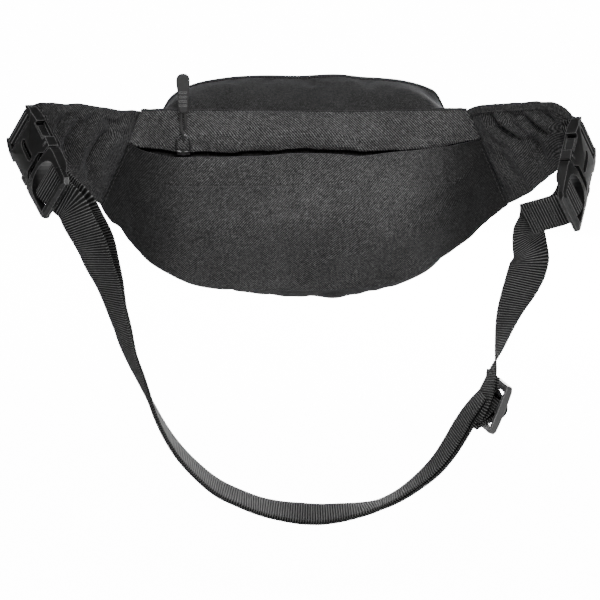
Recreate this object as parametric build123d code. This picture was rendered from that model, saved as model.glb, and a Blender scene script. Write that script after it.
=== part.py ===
from build123d import *
import math
import os

import numpy as np

os.makedirs("parts", exist_ok=True)

# Waist pack (bum bag) on a webbing belt.  Millimetres, +Z up, +Y to the front
# of the pack, -Y to the wearer, -X the wearer's left.
# Origin: centre of the flat wearer-side face.

# ---------------------------------------------------------------- dimensions
WEB_W = 30.0            # webbing width
WEB_T = 1.5             # webbing thickness
SHELL_T = 1.4           # fabric wall
GAP = 0.2               # clearance between sewn neighbours

BACK_Y = 3.0            # back panel plane, in front of the rear pocket
GUSSET_Y = 58.0         # front end of the gusset ring
FRONT_Y = 80.0          # front face
POCKET_Y = 92.0         # front pocket face
GUSSET_SPLIT_Z = 25.0   # seam between top and bottom gusset

COIL_HALF = 0.6         # half width of every zip coil
ZIP_REACH = 3.6         # coil centre to outer tape edge, main and front zips
REAR_ZIP_Z = 33.4       # coil centre of the rear zip
REAR_TAPE_W = 5.8
MAIN_ZIP_Y = 74.0       # coil centre of the main zip
MAIN_ZIP_HALF = 72.0    # half length
FRONT_ZIP_Y = 86.0
FRONT_ZIP_HALF = 56.0

BAR_R = 2.2             # buckle bar radius
MALE_BAR_Y = 48.0       # male bar in the buckle frame
PIVOT_X, PIVOT_Y = 14.0, 37.4   # prong pivot in the buckle frame

# Half outlines (x, z) of the bag from top centre to bottom centre, per depth y
SECTIONS = {
    3.0: [(0, 62), (55, 62), (100, 60.5), (119, 50), (131, 25),
          (140, -2), (118, -28), (80, -55), (40, -64.5), (0, -66)],
    20.0: [(0, 70), (52, 70), (92, 66), (112, 50), (122, 25),
           (126, -2), (108, -32), (76, -58), (38, -68), (0, -70)],
    40.0: [(0, 78), (50, 77.5), (86, 72), (104, 54), (113, 27),
           (115, -3), (100, -33), (72, -58), (36, -69), (0, -71.5)],
    58.0: [(0, 84.5), (50, 83.8), (82, 76), (99, 56), (106, 28),
           (106, -4), (94, -32), (68, -55), (34, -66), (0, -68)],
    70.0: [(0, 80), (52, 79.4), (79, 71.5), (94, 52), (99, 26),
           (98, -4), (87, -30), (63, -51), (32, -60), (0, -62)],
    80.0: [(0, 68), (44, 67.2), (71, 60), (84, 44), (88, 22),
           (87, -4), (77, -26), (56, -43), (28, -51), (0, -53)],
}
# Half outline (x, z) of the front pocket, top centre to bottom centre
POCKET_HALF = [(0, 34), (46, 33.6), (68, 30), (76, 18), (76, 2),
               (68, -17), (52, -31), (26, -39), (0, -41)]


# ------------------------------------------------------------ general helpers
def save(shape, name):
    export_step(shape, f"parts/{name}.step")


def biggest(shape):
    return max(shape.solids(), key=lambda solid: solid.volume)


def box(x0, x1, y0, y1, z0, z1):
    return Pos((x0 + x1) / 2, (y0 + y1) / 2, (z0 + z1) / 2) * Box(x1 - x0, y1 - y0, z1 - z0)


def mid_box(half_x, y0, y1, z0, z1):
    """Box centred on x = 0."""
    return box(-half_x, half_x, y0, y1, z0, z1)


def unit(v):
    v = np.asarray(v, float)
    return v / np.linalg.norm(v)


def square_to(v, axis):
    """Unit vector: v with its part along the unit vector axis removed."""
    v = np.asarray(v, float)
    return unit(v - axis * v.dot(axis))


def heading(points, i):
    """Direction of a point list at index i, from its neighbours."""
    return unit(points[min(i + 1, len(points) - 1)] - points[max(i - 1, 0)])


def rounded_polygon(points, radius=None):
    sketch = make_face(Polyline(*points, close=True))
    return fillet(sketch.vertices(), radius) if radius else sketch


def side_prism(points, half_x):
    """Polygon of (y, z) points extruded from -half_x to half_x."""
    outline = Wire.make_polygon([Vector(-half_x, y, z) for y, z in points], close=True)
    return Solid.extrude(Face(outline), Vector(2 * half_x, 0, 0))


def bar_along_x(radius, length):
    return Rot(0, 90, 0) * Cylinder(radius, length)


def soften(shape, edges, radius):
    """Fillet the edges, falling back to smaller radii, or to none."""
    for r in (radius, radius * 0.6, radius * 0.3):
        # The kernel may refuse a radius that is too big for these edges.
        try:
            rounded = fillet(edges, r)
            if rounded.is_valid:
                return rounded
        except Exception:
            pass
    return shape


# ---------------------------------------------------------------- bag outlines
def half_at(y):
    """Half outline of the bag at depth y, linear between the stations."""
    stations = sorted(SECTIONS)
    for a, b in zip(stations, stations[1:]):
        if y <= b:
            k = (y - a) / (b - a)
            return [((1 - k) * p[0] + k * q[0], (1 - k) * p[1] + k * q[1])
                    for p, q in zip(SECTIONS[a], SECTIONS[b])]


def closed(half, count=26, steps=12):
    """Evenly spaced outline points, clockwise from the top centre."""
    ring = [np.array(p, float) for p in list(half) + [(-x, z) for x, z in half[-2:0:-1]]]
    m = len(ring)
    dense = []
    for i in range(m):
        # Hermite curve from b to c, tangents weighted by the chord lengths
        a, b, c, d = (ring[(i + k) % m] for k in (-1, 0, 1, 2))
        la, lb, lc = np.linalg.norm(b - a), np.linalg.norm(c - b), np.linalg.norm(d - c)
        tb = ((b - a) / la * lb + (c - b) / lb * la) / (la + lb) * lb
        tc = ((c - b) / lb * lc + (d - c) / lc * lb) / (lb + lc) * lb
        for k in range(steps):
            u = k / steps
            dense.append((2 * u**3 - 3 * u**2 + 1) * b + (u**3 - 2 * u**2 + u) * tb
                         + (-2 * u**3 + 3 * u**2) * c + (u**3 - u**2) * tc)
    dense.append(dense[0])
    lengths = [np.linalg.norm(q - p) for p, q in zip(dense, dense[1:])]
    run = np.concatenate([[0], np.cumsum(lengths)])
    out = []
    for k in range(count):
        t = run[-1] * k / count
        i = min(int(np.searchsorted(run, t, side="right")) - 1, len(dense) - 2)
        f = (t - run[i]) / max(run[i + 1] - run[i], 1e-9)
        out.append(dense[i] * (1 - f) + dense[i + 1] * f)
    return out


def inset(points, distance):
    """Move a clockwise outline inward; a negative distance moves it outward."""
    out = []
    for i, p in enumerate(points):
        d = unit(points[(i + 1) % len(points)] - points[i - 1])
        out.append(p + np.array([d[1], -d[0]]) * distance)
    return out


def outline_face(points, y):
    return Face(Wire([Edge.make_spline([Vector(x, y, z) for x, z in points], periodic=True)]))


def body(y0, y1, margin=0.0):
    """Solid bag between two depths, inset by margin."""
    depths = sorted({y0, y1, *[y for y in SECTIONS if y0 < y < y1]})
    if len(depths) == 2:
        depths = [y0, (y0 + y1) / 2, y1]
    return Solid.make_loft([outline_face(inset(closed(half_at(y)), margin), y).outer_wire()
                            for y in depths])


def shell(y0, y1, front_wall=0.0):
    """Bag wall between two depths, closed in front where front_wall is given."""
    return body(y0, y1) - body(y0, y1 - front_wall, SHELL_T)


def plate(y0, y1, margin=0.0):
    """Flat layer with the outline of the back."""
    base = outline_face(inset(closed(SECTIONS[3.0]), margin), y0)
    return Solid.extrude(base, Vector(0, y1 - y0, 0))


# ---------------------------------------------------------------- back layers
save(biggest(plate(0.0, 1.5) & mid_box(200, -5, 10, -120, 30.6)), "rear_pocket_panel")
save(biggest(plate(1.8, 2.3, 4.0) & mid_box(200, -5, 10, -120, 26.0)), "rear_pocket_lining")
save(biggest(plate(0.4, 1.6) & mid_box(200, -5, 10, 36.4, 90)), "rear_yoke_panel")

rear_tape_z = COIL_HALF + GAP       # tape edge from the coil centre
save(mid_box(108, 1.8, 2.5, REAR_ZIP_Z + rear_tape_z, REAR_ZIP_Z + rear_tape_z + REAR_TAPE_W),
     "rear_zip_tape_upper")
save(mid_box(108, 1.8, 2.5, REAR_ZIP_Z - rear_tape_z - REAR_TAPE_W, REAR_ZIP_Z - rear_tape_z),
     "rear_zip_tape_lower")
save(mid_box(106, 1.4, 2.7, REAR_ZIP_Z - COIL_HALF, REAR_ZIP_Z + COIL_HALF), "rear_zip_coil")

save(plate(BACK_Y, BACK_Y + SHELL_T), "back_panel")
save(plate(BACK_Y + 1.8, BACK_Y + 5.0, 8.0), "back_foam_pad")

# Bindings round the back edge
rim = plate(0.2, 4.4, -1.7) - plate(-1, 6, -0.25)
save(biggest(rim & mid_box(200, -5, 10, -120, -8)), "bottom_binding")
save(biggest(rim & mid_box(112, -5, 10, 58, 90)), "top_binding")

# -------------------------------------------------------------------- gussets
gusset = shell(BACK_Y + SHELL_T + GAP, GUSSET_Y)
save(biggest(gusset & mid_box(200, 0, 100, GUSSET_SPLIT_Z + GAP / 2, 120)), "top_gusset")
save(biggest(gusset & mid_box(200, 0, 100, -120, GUSSET_SPLIT_Z - GAP / 2)), "bottom_gusset")


# --------------------------------------------------- main zip and front panel
def save_zip_bands(wall, mid_y, half_length, z0, z1, names):
    """Cut a wall into rear tape, coil and front tape, named in that order."""
    tape_edge = COIL_HALF + 0.1
    bands = [(-ZIP_REACH, -tape_edge), (-COIL_HALF, COIL_HALF), (tape_edge, ZIP_REACH)]
    for name, (start, end) in zip(names, bands):
        save(biggest(wall & mid_box(half_length, mid_y + start, mid_y + end, z0, z1)), name)


save_zip_bands(shell(MAIN_ZIP_Y - ZIP_REACH, MAIN_ZIP_Y + ZIP_REACH),
               MAIN_ZIP_Y, MAIN_ZIP_HALF, 55, 120,
               ("main_zip_tape_rear", "main_zip_coil", "main_zip_tape_front"))

front = shell(GUSSET_Y + GAP, FRONT_Y, front_wall=SHELL_T)
front = front - mid_box(MAIN_ZIP_HALF + 0.3, MAIN_ZIP_Y - ZIP_REACH - 1,
                        MAIN_ZIP_Y + ZIP_REACH + GAP, 50, 120)
save(biggest(front), "front_panel")

lining = body(9.0, 77.2, 3.4) - body(9.6, 76.6, 4.0)
lining = lining - mid_box(66, 68, 82, 60, 120)      # opening under the main zip
save(biggest(lining), "main_lining")

# --------------------------------------------------------------- front pocket
POCKET_WALL = 1.3
# (y, inset) of the pocket gusset, from the front panel outward
POCKET_STATIONS = [(FRONT_Y + GAP, 0), (86, 0.4), (POCKET_Y - 1.6, 2.0)]
pocket_outline = closed(POCKET_HALF)


def pocket_block(margin):
    return Solid.make_loft([outline_face(inset(pocket_outline, step + margin), y).outer_wire()
                            for y, step in POCKET_STATIONS])


pocket_wall = pocket_block(0) - pocket_block(POCKET_WALL)
save_zip_bands(pocket_wall, FRONT_ZIP_Y, FRONT_ZIP_HALF, 24, 60,
               ("front_zip_tape_lower", "front_zip_coil", "front_zip_tape_upper"))
zip_opening = mid_box(FRONT_ZIP_HALF + 0.3, FRONT_ZIP_Y - ZIP_REACH - GAP,
                      FRONT_ZIP_Y + ZIP_REACH + GAP, 22, 60)
save(biggest(pocket_wall - zip_opening), "front_pocket_gusset")
save(Solid.extrude(outline_face(inset(pocket_outline, 2.0), POCKET_Y - SHELL_T),
                   Vector(0, SHELL_T, 0)), "front_pocket_panel")


# ---------------------------------------------------------------------- wings
def rectangle(centre, across, normal, w0, w1, n0, n1):
    """Loft section spanning w0..w1 along across and n0..n1 along normal."""
    corners = ((w0, n0), (w1, n0), (w1, n1), (w0, n1))
    return Wire.make_polygon([Vector(*(centre + across * w + normal * n)) for w, n in corners],
                             close=True)


# (top point, bottom point) from the body seam out to the webbing
WINGS = {
    "left": [((-117.5, 10.5, 58.0), (-145.0, 10.0, -3.0)),
             ((-134.0, -5.0, 64.5), (-150.5, 0.0, 3.0)),
             ((-155.0, -22.0, 65.5), (-160.5, -8.0, 22.0)),
             ((-174.0, -34.5, 64.0), (-174.0, -14.0, 38.0))],
    "right": [((116.5, 10.5, 58.5), (146.0, 10.0, -3.0)),
              ((134.0, -5.0, 64.5), (153.0, 0.0, 5.0)),
              ((155.0, -22.0, 65.5), (163.0, -8.0, 18.0)),
              ((172.0, -35.0, 63.0), (172.0, -14.0, 34.5))],
}


def save_wing(side, stations):
    tops = [np.array(top) for top, _ in stations]
    bottoms = [np.array(bottom) for _, bottom in stations]
    centres = [(top + bottom) / 2 for top, bottom in zip(tops, bottoms)]
    frames = []
    for i, centre in enumerate(centres):
        up = unit(tops[i] - bottoms[i])
        normal = unit(np.cross(up, heading(centres, i)))
        if normal[1] > 0:
            normal = -normal            # the normal faces the wearer
        frames.append((centre, up, normal, np.linalg.norm(tops[i] - bottoms[i]) / 2))

    def layer(n0, n1, margin=0.0):
        return Solid.make_loft([rectangle(c, up, n, margin - half, half - margin, n0, n1)
                                for c, up, n, half in frames])

    save(layer(1.8, 3.0), f"{side}_wing_inner_panel")
    save(layer(-1.6, 1.6, margin=2.0), f"{side}_wing_foam")
    save(layer(-3.0, -1.8), f"{side}_wing_outer_panel")
    binding = Solid.make_loft([rectangle(c, up, n, half + 0.3, half + 2.1, -2.6, 2.6)
                               for c, up, n, half in frames])
    save(binding, f"{side}_wing_binding")


for side, stations in WINGS.items():
    save_wing(side, stations)


# -------------------------------------------------------------------- buckles
class Frame:
    """Local axes at origin: y along y_dir, x the part of x_hint square to it."""

    def __init__(self, origin, y_dir, x_hint):
        self.origin = np.array(origin, float)
        self.y = unit(y_dir)
        self.x = square_to(x_hint, self.y)
        self.z = np.cross(self.x, self.y)
        self.location = Location(Plane(origin=Vector(*origin), x_dir=Vector(*self.x),
                                       z_dir=Vector(*self.z)))

    def point_yz(self, y, z):
        return self.origin + self.y * y + self.z * z


# Buckle frame: x along the bars, y from the female bar (y = 0) to the male bar
LEFT_BUCKLE = Frame((-191.1, -35.0, 52.8), (0.43, -0.55, -0.717), (-0.45, 0.55, -0.70))
RIGHT_BUCKLE = Frame((189.3, -35.0, 45.2), (-0.244, -0.632, -0.735), (-0.378, -0.632, 0.677))

# Plan outlines (x, y) and side profiles (y, z)
FEMALE_PLAN = [(-17.6, -4.4), (17.6, -4.4), (19.6, 0), (21.2, 11), (21.6, 22), (20.9, 35.2),
               (14.5, 35.2), (9.5, 31.8), (-9.5, 31.8), (-14.5, 35.2), (-20.9, 35.2),
               (-21.6, 22), (-21.2, 11), (-19.6, 0)]
FEMALE_SIDE = [(-6, -2.9), (-6, 2.9), (3, 3.5), (10, 4.9), (18, 5.8), (28, 6.1), (37, 5.5),
               (37, -5.2), (26, -5.6), (12, -4.8), (3, -3.4)]
MALE_PLAN = [(-20.8, 35.9), (-14.5, 35.9), (-10, 33.0), (10, 33.0), (14.5, 35.9), (20.8, 35.9),
             (21.4, 41), (20.6, 55), (20.2, 62.0), (17.6, 66.4), (-17.6, 66.4), (-20.2, 62.0),
             (-20.6, 55), (-21.4, 41)]
MALE_SIDE = [(30, -4.9), (30, 5.6), (42, 5.3), (50, 4.7), (60, 4.9), (64, 4.6), (67, 2.8),
             (67, 1.0), (64, 0.1), (57.5, 0.1), (53, -2.6), (46, -4.2), (38, -4.8)]
PRONG_PLAN = [(12.5, 37.4), (12.5, 17), (11.8, 13.2), (13.4, 12.2), (16.6, 13.4), (18.7, 15.4),
              (18.7, 24.6), (17.2, 26.4), (15.5, 27.4), (15.5, 37.4)]


def lens(half_x, edge_z, crown_z, y0, y1):
    """Bar of lens section: half height edge_z at the sides, crown_z in the middle."""
    shoulder_z = edge_z + (crown_z - edge_z) * 0.78
    profile = [(-half_x, edge_z), (-half_x * 0.5, shoulder_z), (0, crown_z),
               (half_x * 0.5, shoulder_z), (half_x, edge_z)]
    top = [Vector(x, y0, z) for x, z in profile]
    bottom = [Vector(x, y0, -z) for x, z in reversed(profile)]
    outline = Wire([Edge.make_spline(top), Edge.make_line(top[-1], bottom[0]),
                    Edge.make_spline(bottom), Edge.make_line(bottom[-1], top[0])])
    return Solid.extrude(Face(outline), Vector(0, y1 - y0, 0))


def outer_edges(shape, min_z):
    """Edges longer than 2 mm whose centres lie beyond min_z on either side."""
    return [e for e in shape.edges() if abs(e.center().Z) > min_z and e.length > 2.0]


def female_buckle():
    s = extrude(rounded_polygon(FEMALE_PLAN, 1.1), 7, both=True)
    s = s & lens(22.5, 3.3, 6.0, -6, 38)
    s = s & side_prism(FEMALE_SIDE, 24)
    s = soften(s, outer_edges(s, 1.5), 0.7)
    s = s - mid_box(16, -8, 7.2, -9, 9)                 # webbing slot
    s = s - mid_box(16.4, 10.2, 14.0, -3.3, 3.3)        # blind end of the cavity
    s = s - mid_box(19.0, 13.0, 40, -3.3, 3.3)          # cavity, open at the mouth
    # release windows
    s = s - box(-24, -18.5, 13.2, 27.4, -3.6, 9) - box(18.5, 24, 13.2, 27.4, -3.6, 9)
    # slot through the +z wall
    s = s - extrude(Pos(0, 20.8) * SlotOverall(17.5, 6.2, rotation=90), 9)
    s = s + bar_along_x(BAR_R, 34)
    for side in (-1, 1):                                # ridges near the mouth
        s = s + (Pos(side * 17.6, 31.0, 4.1) * Box(4.6, 1.2, 1.4)
                 & lens(22.0, 3.9, 6.6, 20, 36))
    return biggest(s)


def male_buckle():
    s = extrude(rounded_polygon(MALE_PLAN, 1.3), 7, both=True)
    s = s & lens(22.5, 3.2, 5.7, 30, 70)
    s = s & side_prism(MALE_SIDE, 24)
    s = soften(s, outer_edges(s, 1.2), 0.8)
    # webbing opening with a half-elliptic end towards the female part
    half_x, arc_y, arc_depth, end_y = 16.4, 47, 8.6, 61.2
    arc = [(half_x * math.cos(math.radians(180 - a)), arc_y - arc_depth * math.sin(math.radians(a)))
           for a in range(15, 180, 15)]
    opening = [(-half_x, end_y), (-half_x, arc_y), *arc, (half_x, arc_y), (half_x, end_y)]
    s = s - extrude(rounded_polygon(opening), 12, both=True)
    s = s + Pos(0, MALE_BAR_Y, 0) * bar_along_x(BAR_R, 34.5)
    # tongue that enters the mouth: thinned, then narrowed
    s = s - mid_box(25, 30, 35.7, 2.9, 9) - mid_box(25, 30, 35.7, -9, -2.9)
    s = s - box(-25, -11, 30, 35.7, -9, 9) - box(11, 25, 30, 35.7, -9, 9)
    s = s + mid_box(2.0, 12.5, 34.5, -2.6, 2.6)         # centre guide
    for x in (-PIVOT_X, PIVOT_X):                       # prong sockets
        s = (s - Pos(x, PIVOT_Y, 0) * Cylinder(1.85, 5.6)
             - box(x - 2.0, x + 2.0, 35, 37.6, -2.8, 2.8))
    return biggest(s)


def prong():
    """Side prong on +x with its release button."""
    s = extrude(rounded_polygon(PRONG_PLAN, 0.5), 2.5, both=True)
    s = s + Pos(PIVOT_X, PIVOT_Y, 0) * Cylinder(1.5, 5.0)
    s = s + Pos(17.7, 20, 0) * Box(2.0, 8.5, 5.8)
    return biggest(s)


prong_b = prong()
buckle_parts = {
    "female_buckle": female_buckle(),
    "male_buckle": male_buckle(),
    "prong_a": mirror(prong_b, about=Plane.YZ),
    "prong_b": prong_b,
}
for side, buckle in (("left", LEFT_BUCKLE), ("right", RIGHT_BUCKLE)):
    for name, part in buckle_parts.items():
        save(buckle.location * part, f"{side}_{name}")


# ------------------------------------------------------------ webbing helpers
# Twist angles are counted from this direction.
TWIST_ZERO = unit((0, 0.990, -0.139))


def smooth(points, step):
    """Points of a Catmull-Rom curve through points, about step apart."""
    p = [np.array(q, float) for q in points]
    p = [2 * p[0] - p[1]] + p + [2 * p[-1] - p[-2]]
    out = []
    for a, b, c, d in zip(p, p[1:], p[2:], p[3:]):
        n = max(2, int(round(np.linalg.norm(c - b) / step)))
        for k in range(n):
            u = k / n
            out.append(0.5 * (2 * b + (c - a) * u + (2 * a - 5 * b + 4 * c - d) * u**2
                              + (-a + 3 * b - 3 * c + d) * u**3))
    out.append(p[-2])
    return out


def ribbon(path, location):
    """Webbing along a (y, z) path, its width along the local x axis."""
    centre = smooth(path, 1.3)
    sides = []
    for sign in (1, -1):
        side = []
        for i, point in enumerate(centre):
            d = heading(centre, i)
            y, z = point + sign * np.array([-d[1], d[0]]) * WEB_T / 2
            side.append(Vector(-WEB_W / 2, y, z))
        sides.append(side)
    upper, lower = sides
    outline = Wire([Edge.make_spline(upper), Edge.make_line(upper[-1], lower[-1]),
                    Edge.make_spline(lower[::-1]), Edge.make_line(lower[0], upper[0])])
    return location * Solid.extrude(Face(outline), Vector(WEB_W, 0, 0))


def twisted(direction, degrees):
    """Width direction of webbing running along direction, at a twist angle."""
    side = unit(np.cross(TWIST_ZERO, direction))
    zero = unit(np.cross(direction, side))
    angle = math.radians(degrees)
    return math.cos(angle) * zero + math.sin(angle) * side


def web_section(point, direction, width_dir, shift=0.0):
    """Webbing cross-section, moved by shift along its normal."""
    across = square_to(width_dir, direction)
    normal = unit(np.cross(across, direction))
    return rectangle(point + normal * shift, across, normal,
                     -WEB_W / 2, WEB_W / 2, -WEB_T / 2, WEB_T / 2)


# --------------------------------------------------------------- webbing tabs
def webbing_tab(buckle, leg_y, leg_z):
    """Loop round the female bar; two legs run 8 mm along (leg_y, leg_z)."""
    r = BAR_R + 0.3 + WEB_T / 2
    leg = 8.0
    arc = [(r * math.cos(math.radians(a)), r * math.sin(math.radians(a)))
           for a in range(0, 181, 20)]
    leg_in = [(r + leg_y * k, leg_z * k) for k in (leg, leg / 2)]
    leg_out = [(-r + leg_y * k, leg_z * k) for k in (leg / 2, leg)]
    return ribbon(leg_in + arc + leg_out, buckle.location)


save(webbing_tab(LEFT_BUCKLE, 0.122, -0.983), "left_webbing_tab")
save(webbing_tab(RIGHT_BUCKLE, -0.074, -0.984), "right_webbing_tab")

# ------------------------------------------------------------------ left belt
# Loop on the male bar, then two layers down and round to the adjuster.
# Loop path (y, z) in the buckle frame
LEFT_LOOP = [(70, -8.9), (63, -7.6), (57, -5.9), (52, -4.3), (48, -3.25), (45.7, -2.3),
             (44.75, 0), (45.7, 2.3), (48, 3.25), (51, 2.9), (56, 0.9), (60.5, -1.5),
             (65, -1.7), (70, -1.7)]
LOOP_END_SPACING = 7.2      # layer spacing at the loop's ends
LAYER_SPACING = 2.2         # layer spacing along the belt
# (point, width direction, layer spacing) below the loop
LEFT_TOP = [
    ((-149.6, -71.5, -9.0), (-0.706, 0.613, -0.356), 8.4),
    ((-142.0, -69.0, -24.6), (-0.667, 0.662, -0.343), 8.2),
    ((-137.6, -66.0, -37.6), (-0.61, 0.729, -0.31), 6.4),
    ((-132.4, -62.5, -50.8), (-0.553, 0.79, -0.263), 4.0),
    ((-128.0, -60.0, -66.6), (-0.44, 0.868, -0.23), 2.6),
    ((-123.8, -57.8, -81.4), (-0.39, 0.898, -0.203), LAYER_SPACING),
]
# (x, y, z, twist in degrees) on to the adjuster
LEFT_RUN = [
    (-119.8, -55, -98.0, 18), (-114.6, -52, -112.1, 14), (-109.1, -49, -126.4, 8),
    (-103.5, -47, -140.4, 1), (-96.8, -45, -154.6, -3), (-88.0, -43.5, -168.8, -7),
    (-75.8, -42, -183.0, -10), (-58.7, -41, -197.3, -13), (-45.6, -41, -203.7, -14),
    (-30.4, -40, -209.9, -15), (-16.6, -40, -213.1, -17), (-2.8, -40, -214.9, -20),
    (11.0, -40, -215.6, -19), (24.9, -40, -214.5, -16), (38.7, -40, -212.4, -10),
    (52.5, -39, -209.1, -4), (66.3, -39, -202.7, -4), (80.1, -38, -193.1, -8),
    (93.8, -38, -180.3, -13), (103.5, -38, -169.0, -14), (111.0, -38, -161.0, -13),
]


def left_belt():
    points = [LEFT_BUCKLE.point_yz(*LEFT_LOOP[-1])]
    points += [np.array(point) for point, _, _ in LEFT_TOP]
    points += [np.array(row[:3]) for row in LEFT_RUN]
    directions = [LEFT_BUCKLE.y] + [heading(points, i) for i in range(1, len(points))]
    widths = [LEFT_BUCKLE.x] + [width for _, width, _ in LEFT_TOP]
    widths += [twisted(d, row[3]) for d, row in zip(directions[len(widths):], LEFT_RUN)]
    spacings = [LOOP_END_SPACING] + [s for _, _, s in LEFT_TOP] + [LAYER_SPACING] * len(LEFT_RUN)

    def layer(factor):
        return Solid.make_loft([web_section(p, d, w, -factor * s) for p, d, w, s
                                in zip(points, directions, widths, spacings)])

    return biggest(ribbon(LEFT_LOOP, LEFT_BUCKLE.location) + layer(0) + layer(1))


save(left_belt(), "belt_webbing_left")

# ----------------------------------------------------------------- right belt
# End folded round the male bar, then a single layer to the adjuster.
# Fold path (y, z) in the buckle frame
RIGHT_FOLD = [(66.9, -27.5), (64.2, -18.2), (61.8, -10.3), (60.3, -6.8), (57, -4.7),
              (52.5, -3.7), (48, -3.25), (45.7, -2.3), (44.75, 0), (45.7, 2.3), (48, 3.25),
              (51, 2.9), (56, 0.6), (60.3, -2.2), (62.0, -5.4), (63.4, -9.8), (66.0, -18.7),
              (68.6, -27.0)]
# (x, y, z, twist in degrees) from the adjuster up towards the fold
RIGHT_RUN = [
    (133.3, -35.5, -105.0, 12), (134.2, -34.0, -97.5, 20), (137.2, -32.5, -86.5, 29),
    (141.5, -33.0, -73.3, 40), (147.0, -35, -60.0, 54), (151.4, -37, -48.0, 64),
    (153.6, -39, -38.6, 66), (153.6, -42, -30.5, 56), (152.0, -47, -21.5, 47),
    (154.4, -54.5, -13.5, 56),
]


def right_belt():
    buckle = RIGHT_BUCKLE
    # direction of the folded end and its normal
    end_dir = unit(0.2785 * buckle.y - 0.959 * buckle.z)
    end_normal = unit(0.959 * buckle.y + 0.2785 * buckle.z)
    join = buckle.point_yz(*RIGHT_FOLD[0]) - end_dir * 11.0 - end_normal * 1.42
    lap_dir = unit(np.cross(end_normal, (1, 0, 0)))
    lap_width = unit(np.cross(lap_dir, end_normal))

    lap_points = [join - lap_dir * 4.0, join + lap_dir * 6.0]
    points = [np.array(row[:3]) for row in RIGHT_RUN] + lap_points
    sections = []
    for i, row in enumerate(RIGHT_RUN):
        direction = heading(points, i)
        sections.append(web_section(points[i], direction, twisted(direction, row[3])))
    sections += [web_section(point, lap_dir, lap_width) for point in lap_points]
    lap = Solid.make_loft(sections[-2:], True)
    run = Solid.make_loft(sections[:-1])
    return biggest(ribbon(RIGHT_FOLD, buckle.location) + lap + run)


save(right_belt(), "belt_webbing_right")

# ------------------------------------------------------------ ladder adjuster
ADJUSTER_DIR = unit((0.36, 0.02, 0.93))
ADJUSTER = Frame((130.6, -37.5, -138.3), ADJUSTER_DIR, twisted(ADJUSTER_DIR, -14))
# Plan (x, y), side profile (y, z) and webbing path (y, z)
ADJUSTER_PLAN = [(-19, -15), (-16, -17.5), (16, -17.5), (19, -15), (19.4, 0), (19, 15),
                 (16, 17.5), (-16, 17.5), (-19, 15), (-19.4, 0)]
ADJUSTER_SIDE = [(-18, -2.1), (-18, 2.1), (-10, 2.5), (0, 2.8), (10, 2.5), (18, 2.1),
                 (18, -2.1), (10, -2.6), (-10, -2.6)]
WEAVE = [(-18, -10.4), (-14.6, -7.6), (-11.4, -4.4), (-8.7, -1.4), (-6.2, 1.8), (-3.4, 4.2),
         (0, 5.0), (3.4, 4.2), (6.2, 1.8), (8.7, -1.4), (11.4, -4.4), (14.6, -7.2),
         (18.5, -9.2)]


def strap_adjuster():
    s = extrude(rounded_polygon(ADJUSTER_PLAN, 1.5), 2.6, both=True)
    s = s & side_prism(ADJUSTER_SIDE, 24)
    s = soften(s, [e for e in s.edges() if e.length > 1.5], 0.6)
    s = s - mid_box(16, 2.8, 12.6, -5, 5) - mid_box(16, -12.6, -2.8, -5, 5)
    for y in (-1.6, 0, 1.6):            # flutes on both faces of the middle bar
        for z in (3.2, -3.2):
            s = s - Pos(0, y, z) * bar_along_x(0.7, 30)
    return biggest(s)


save(ADJUSTER.location * strap_adjuster(), "strap_adjuster")
save(ribbon(WEAVE, ADJUSTER.location), "adjuster_webbing")

# --------------------------------------------------------------- zip hardware
RING_WIRE = 1.6
RING_W, RING_H = 9.6, 11.6      # ring size on the wire centreline
RING_LIFT = 3.6                 # ring bar above the slider origin
CORD_R = 0.75
CORD_BACK = 1.72                # cord origin behind the ring's far end
CORD_END_Z = 23.0
GRIP_START_Z = 17.0             # grip foot from the cord origin
GRIP_T = 5.2
# Half ring (x / RING_W, z / RING_H) from the middle of the bar to the far end
RING_HALF = [(0, 0), (0.3, 0), (0.46, 0.05), (0.5, 0.2), (0.5, 0.5), (0.42, 0.78),
             (0.24, 0.95), (0, 1)]
# Grip outline (x, z) from foot over head to foot
GRIP_OUTLINE = [(-2.6, 0), (-3.4, 4), (-3.6, 12), (-4.4, 18), (-4.7, 22), (-3.6, 25.6), (0, 27),
                (3.6, 25.6), (4.7, 22), (4.4, 18), (3.6, 12), (3.4, 4), (2.6, 0)]
# First half of the cord centreline (x, y, z), from the grip to the ring
CORD_HALF = [(-0.82, 0, CORD_END_Z), (-0.82, 0, 15.0), (-0.85, -0.3, 9.0), (-0.7, -1.2, 4.8),
             (0, -1.78, 1.7)]


def zip_ring():
    """D-shaped wire ring in the X-Z plane, middle of its bar at the origin."""
    half = [(x * RING_W, z * RING_H) for x, z in RING_HALF]
    points = half + [(-x, z) for x, z in half[-2:0:-1]]
    path = Wire([Edge.make_spline([Vector(x, 0, z) for x, z in points], periodic=True)])
    wire_section = Plane(origin=Vector(0, 0, 0), z_dir=Vector(1, 0, 0)) * Circle(RING_WIRE / 2)
    return sweep(wire_section, path=path)


def zip_slider():
    """Plate with a bridge for the ring: x along the zip, z out, origin on the tape."""
    s = Pos(0, 0, 1.9) * Box(9.0, 5.2, 1.4)
    s = soften(s, s.edges(), 0.5)
    for y in (-1.9, 1.9):
        s = s + Pos(0, y, 3.7) * Box(2.2, 1.1, 3.4)
    s = s + Pos(0, 0, 5.2) * Box(2.2, 4.9, 1.0)
    return biggest(s)


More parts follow.
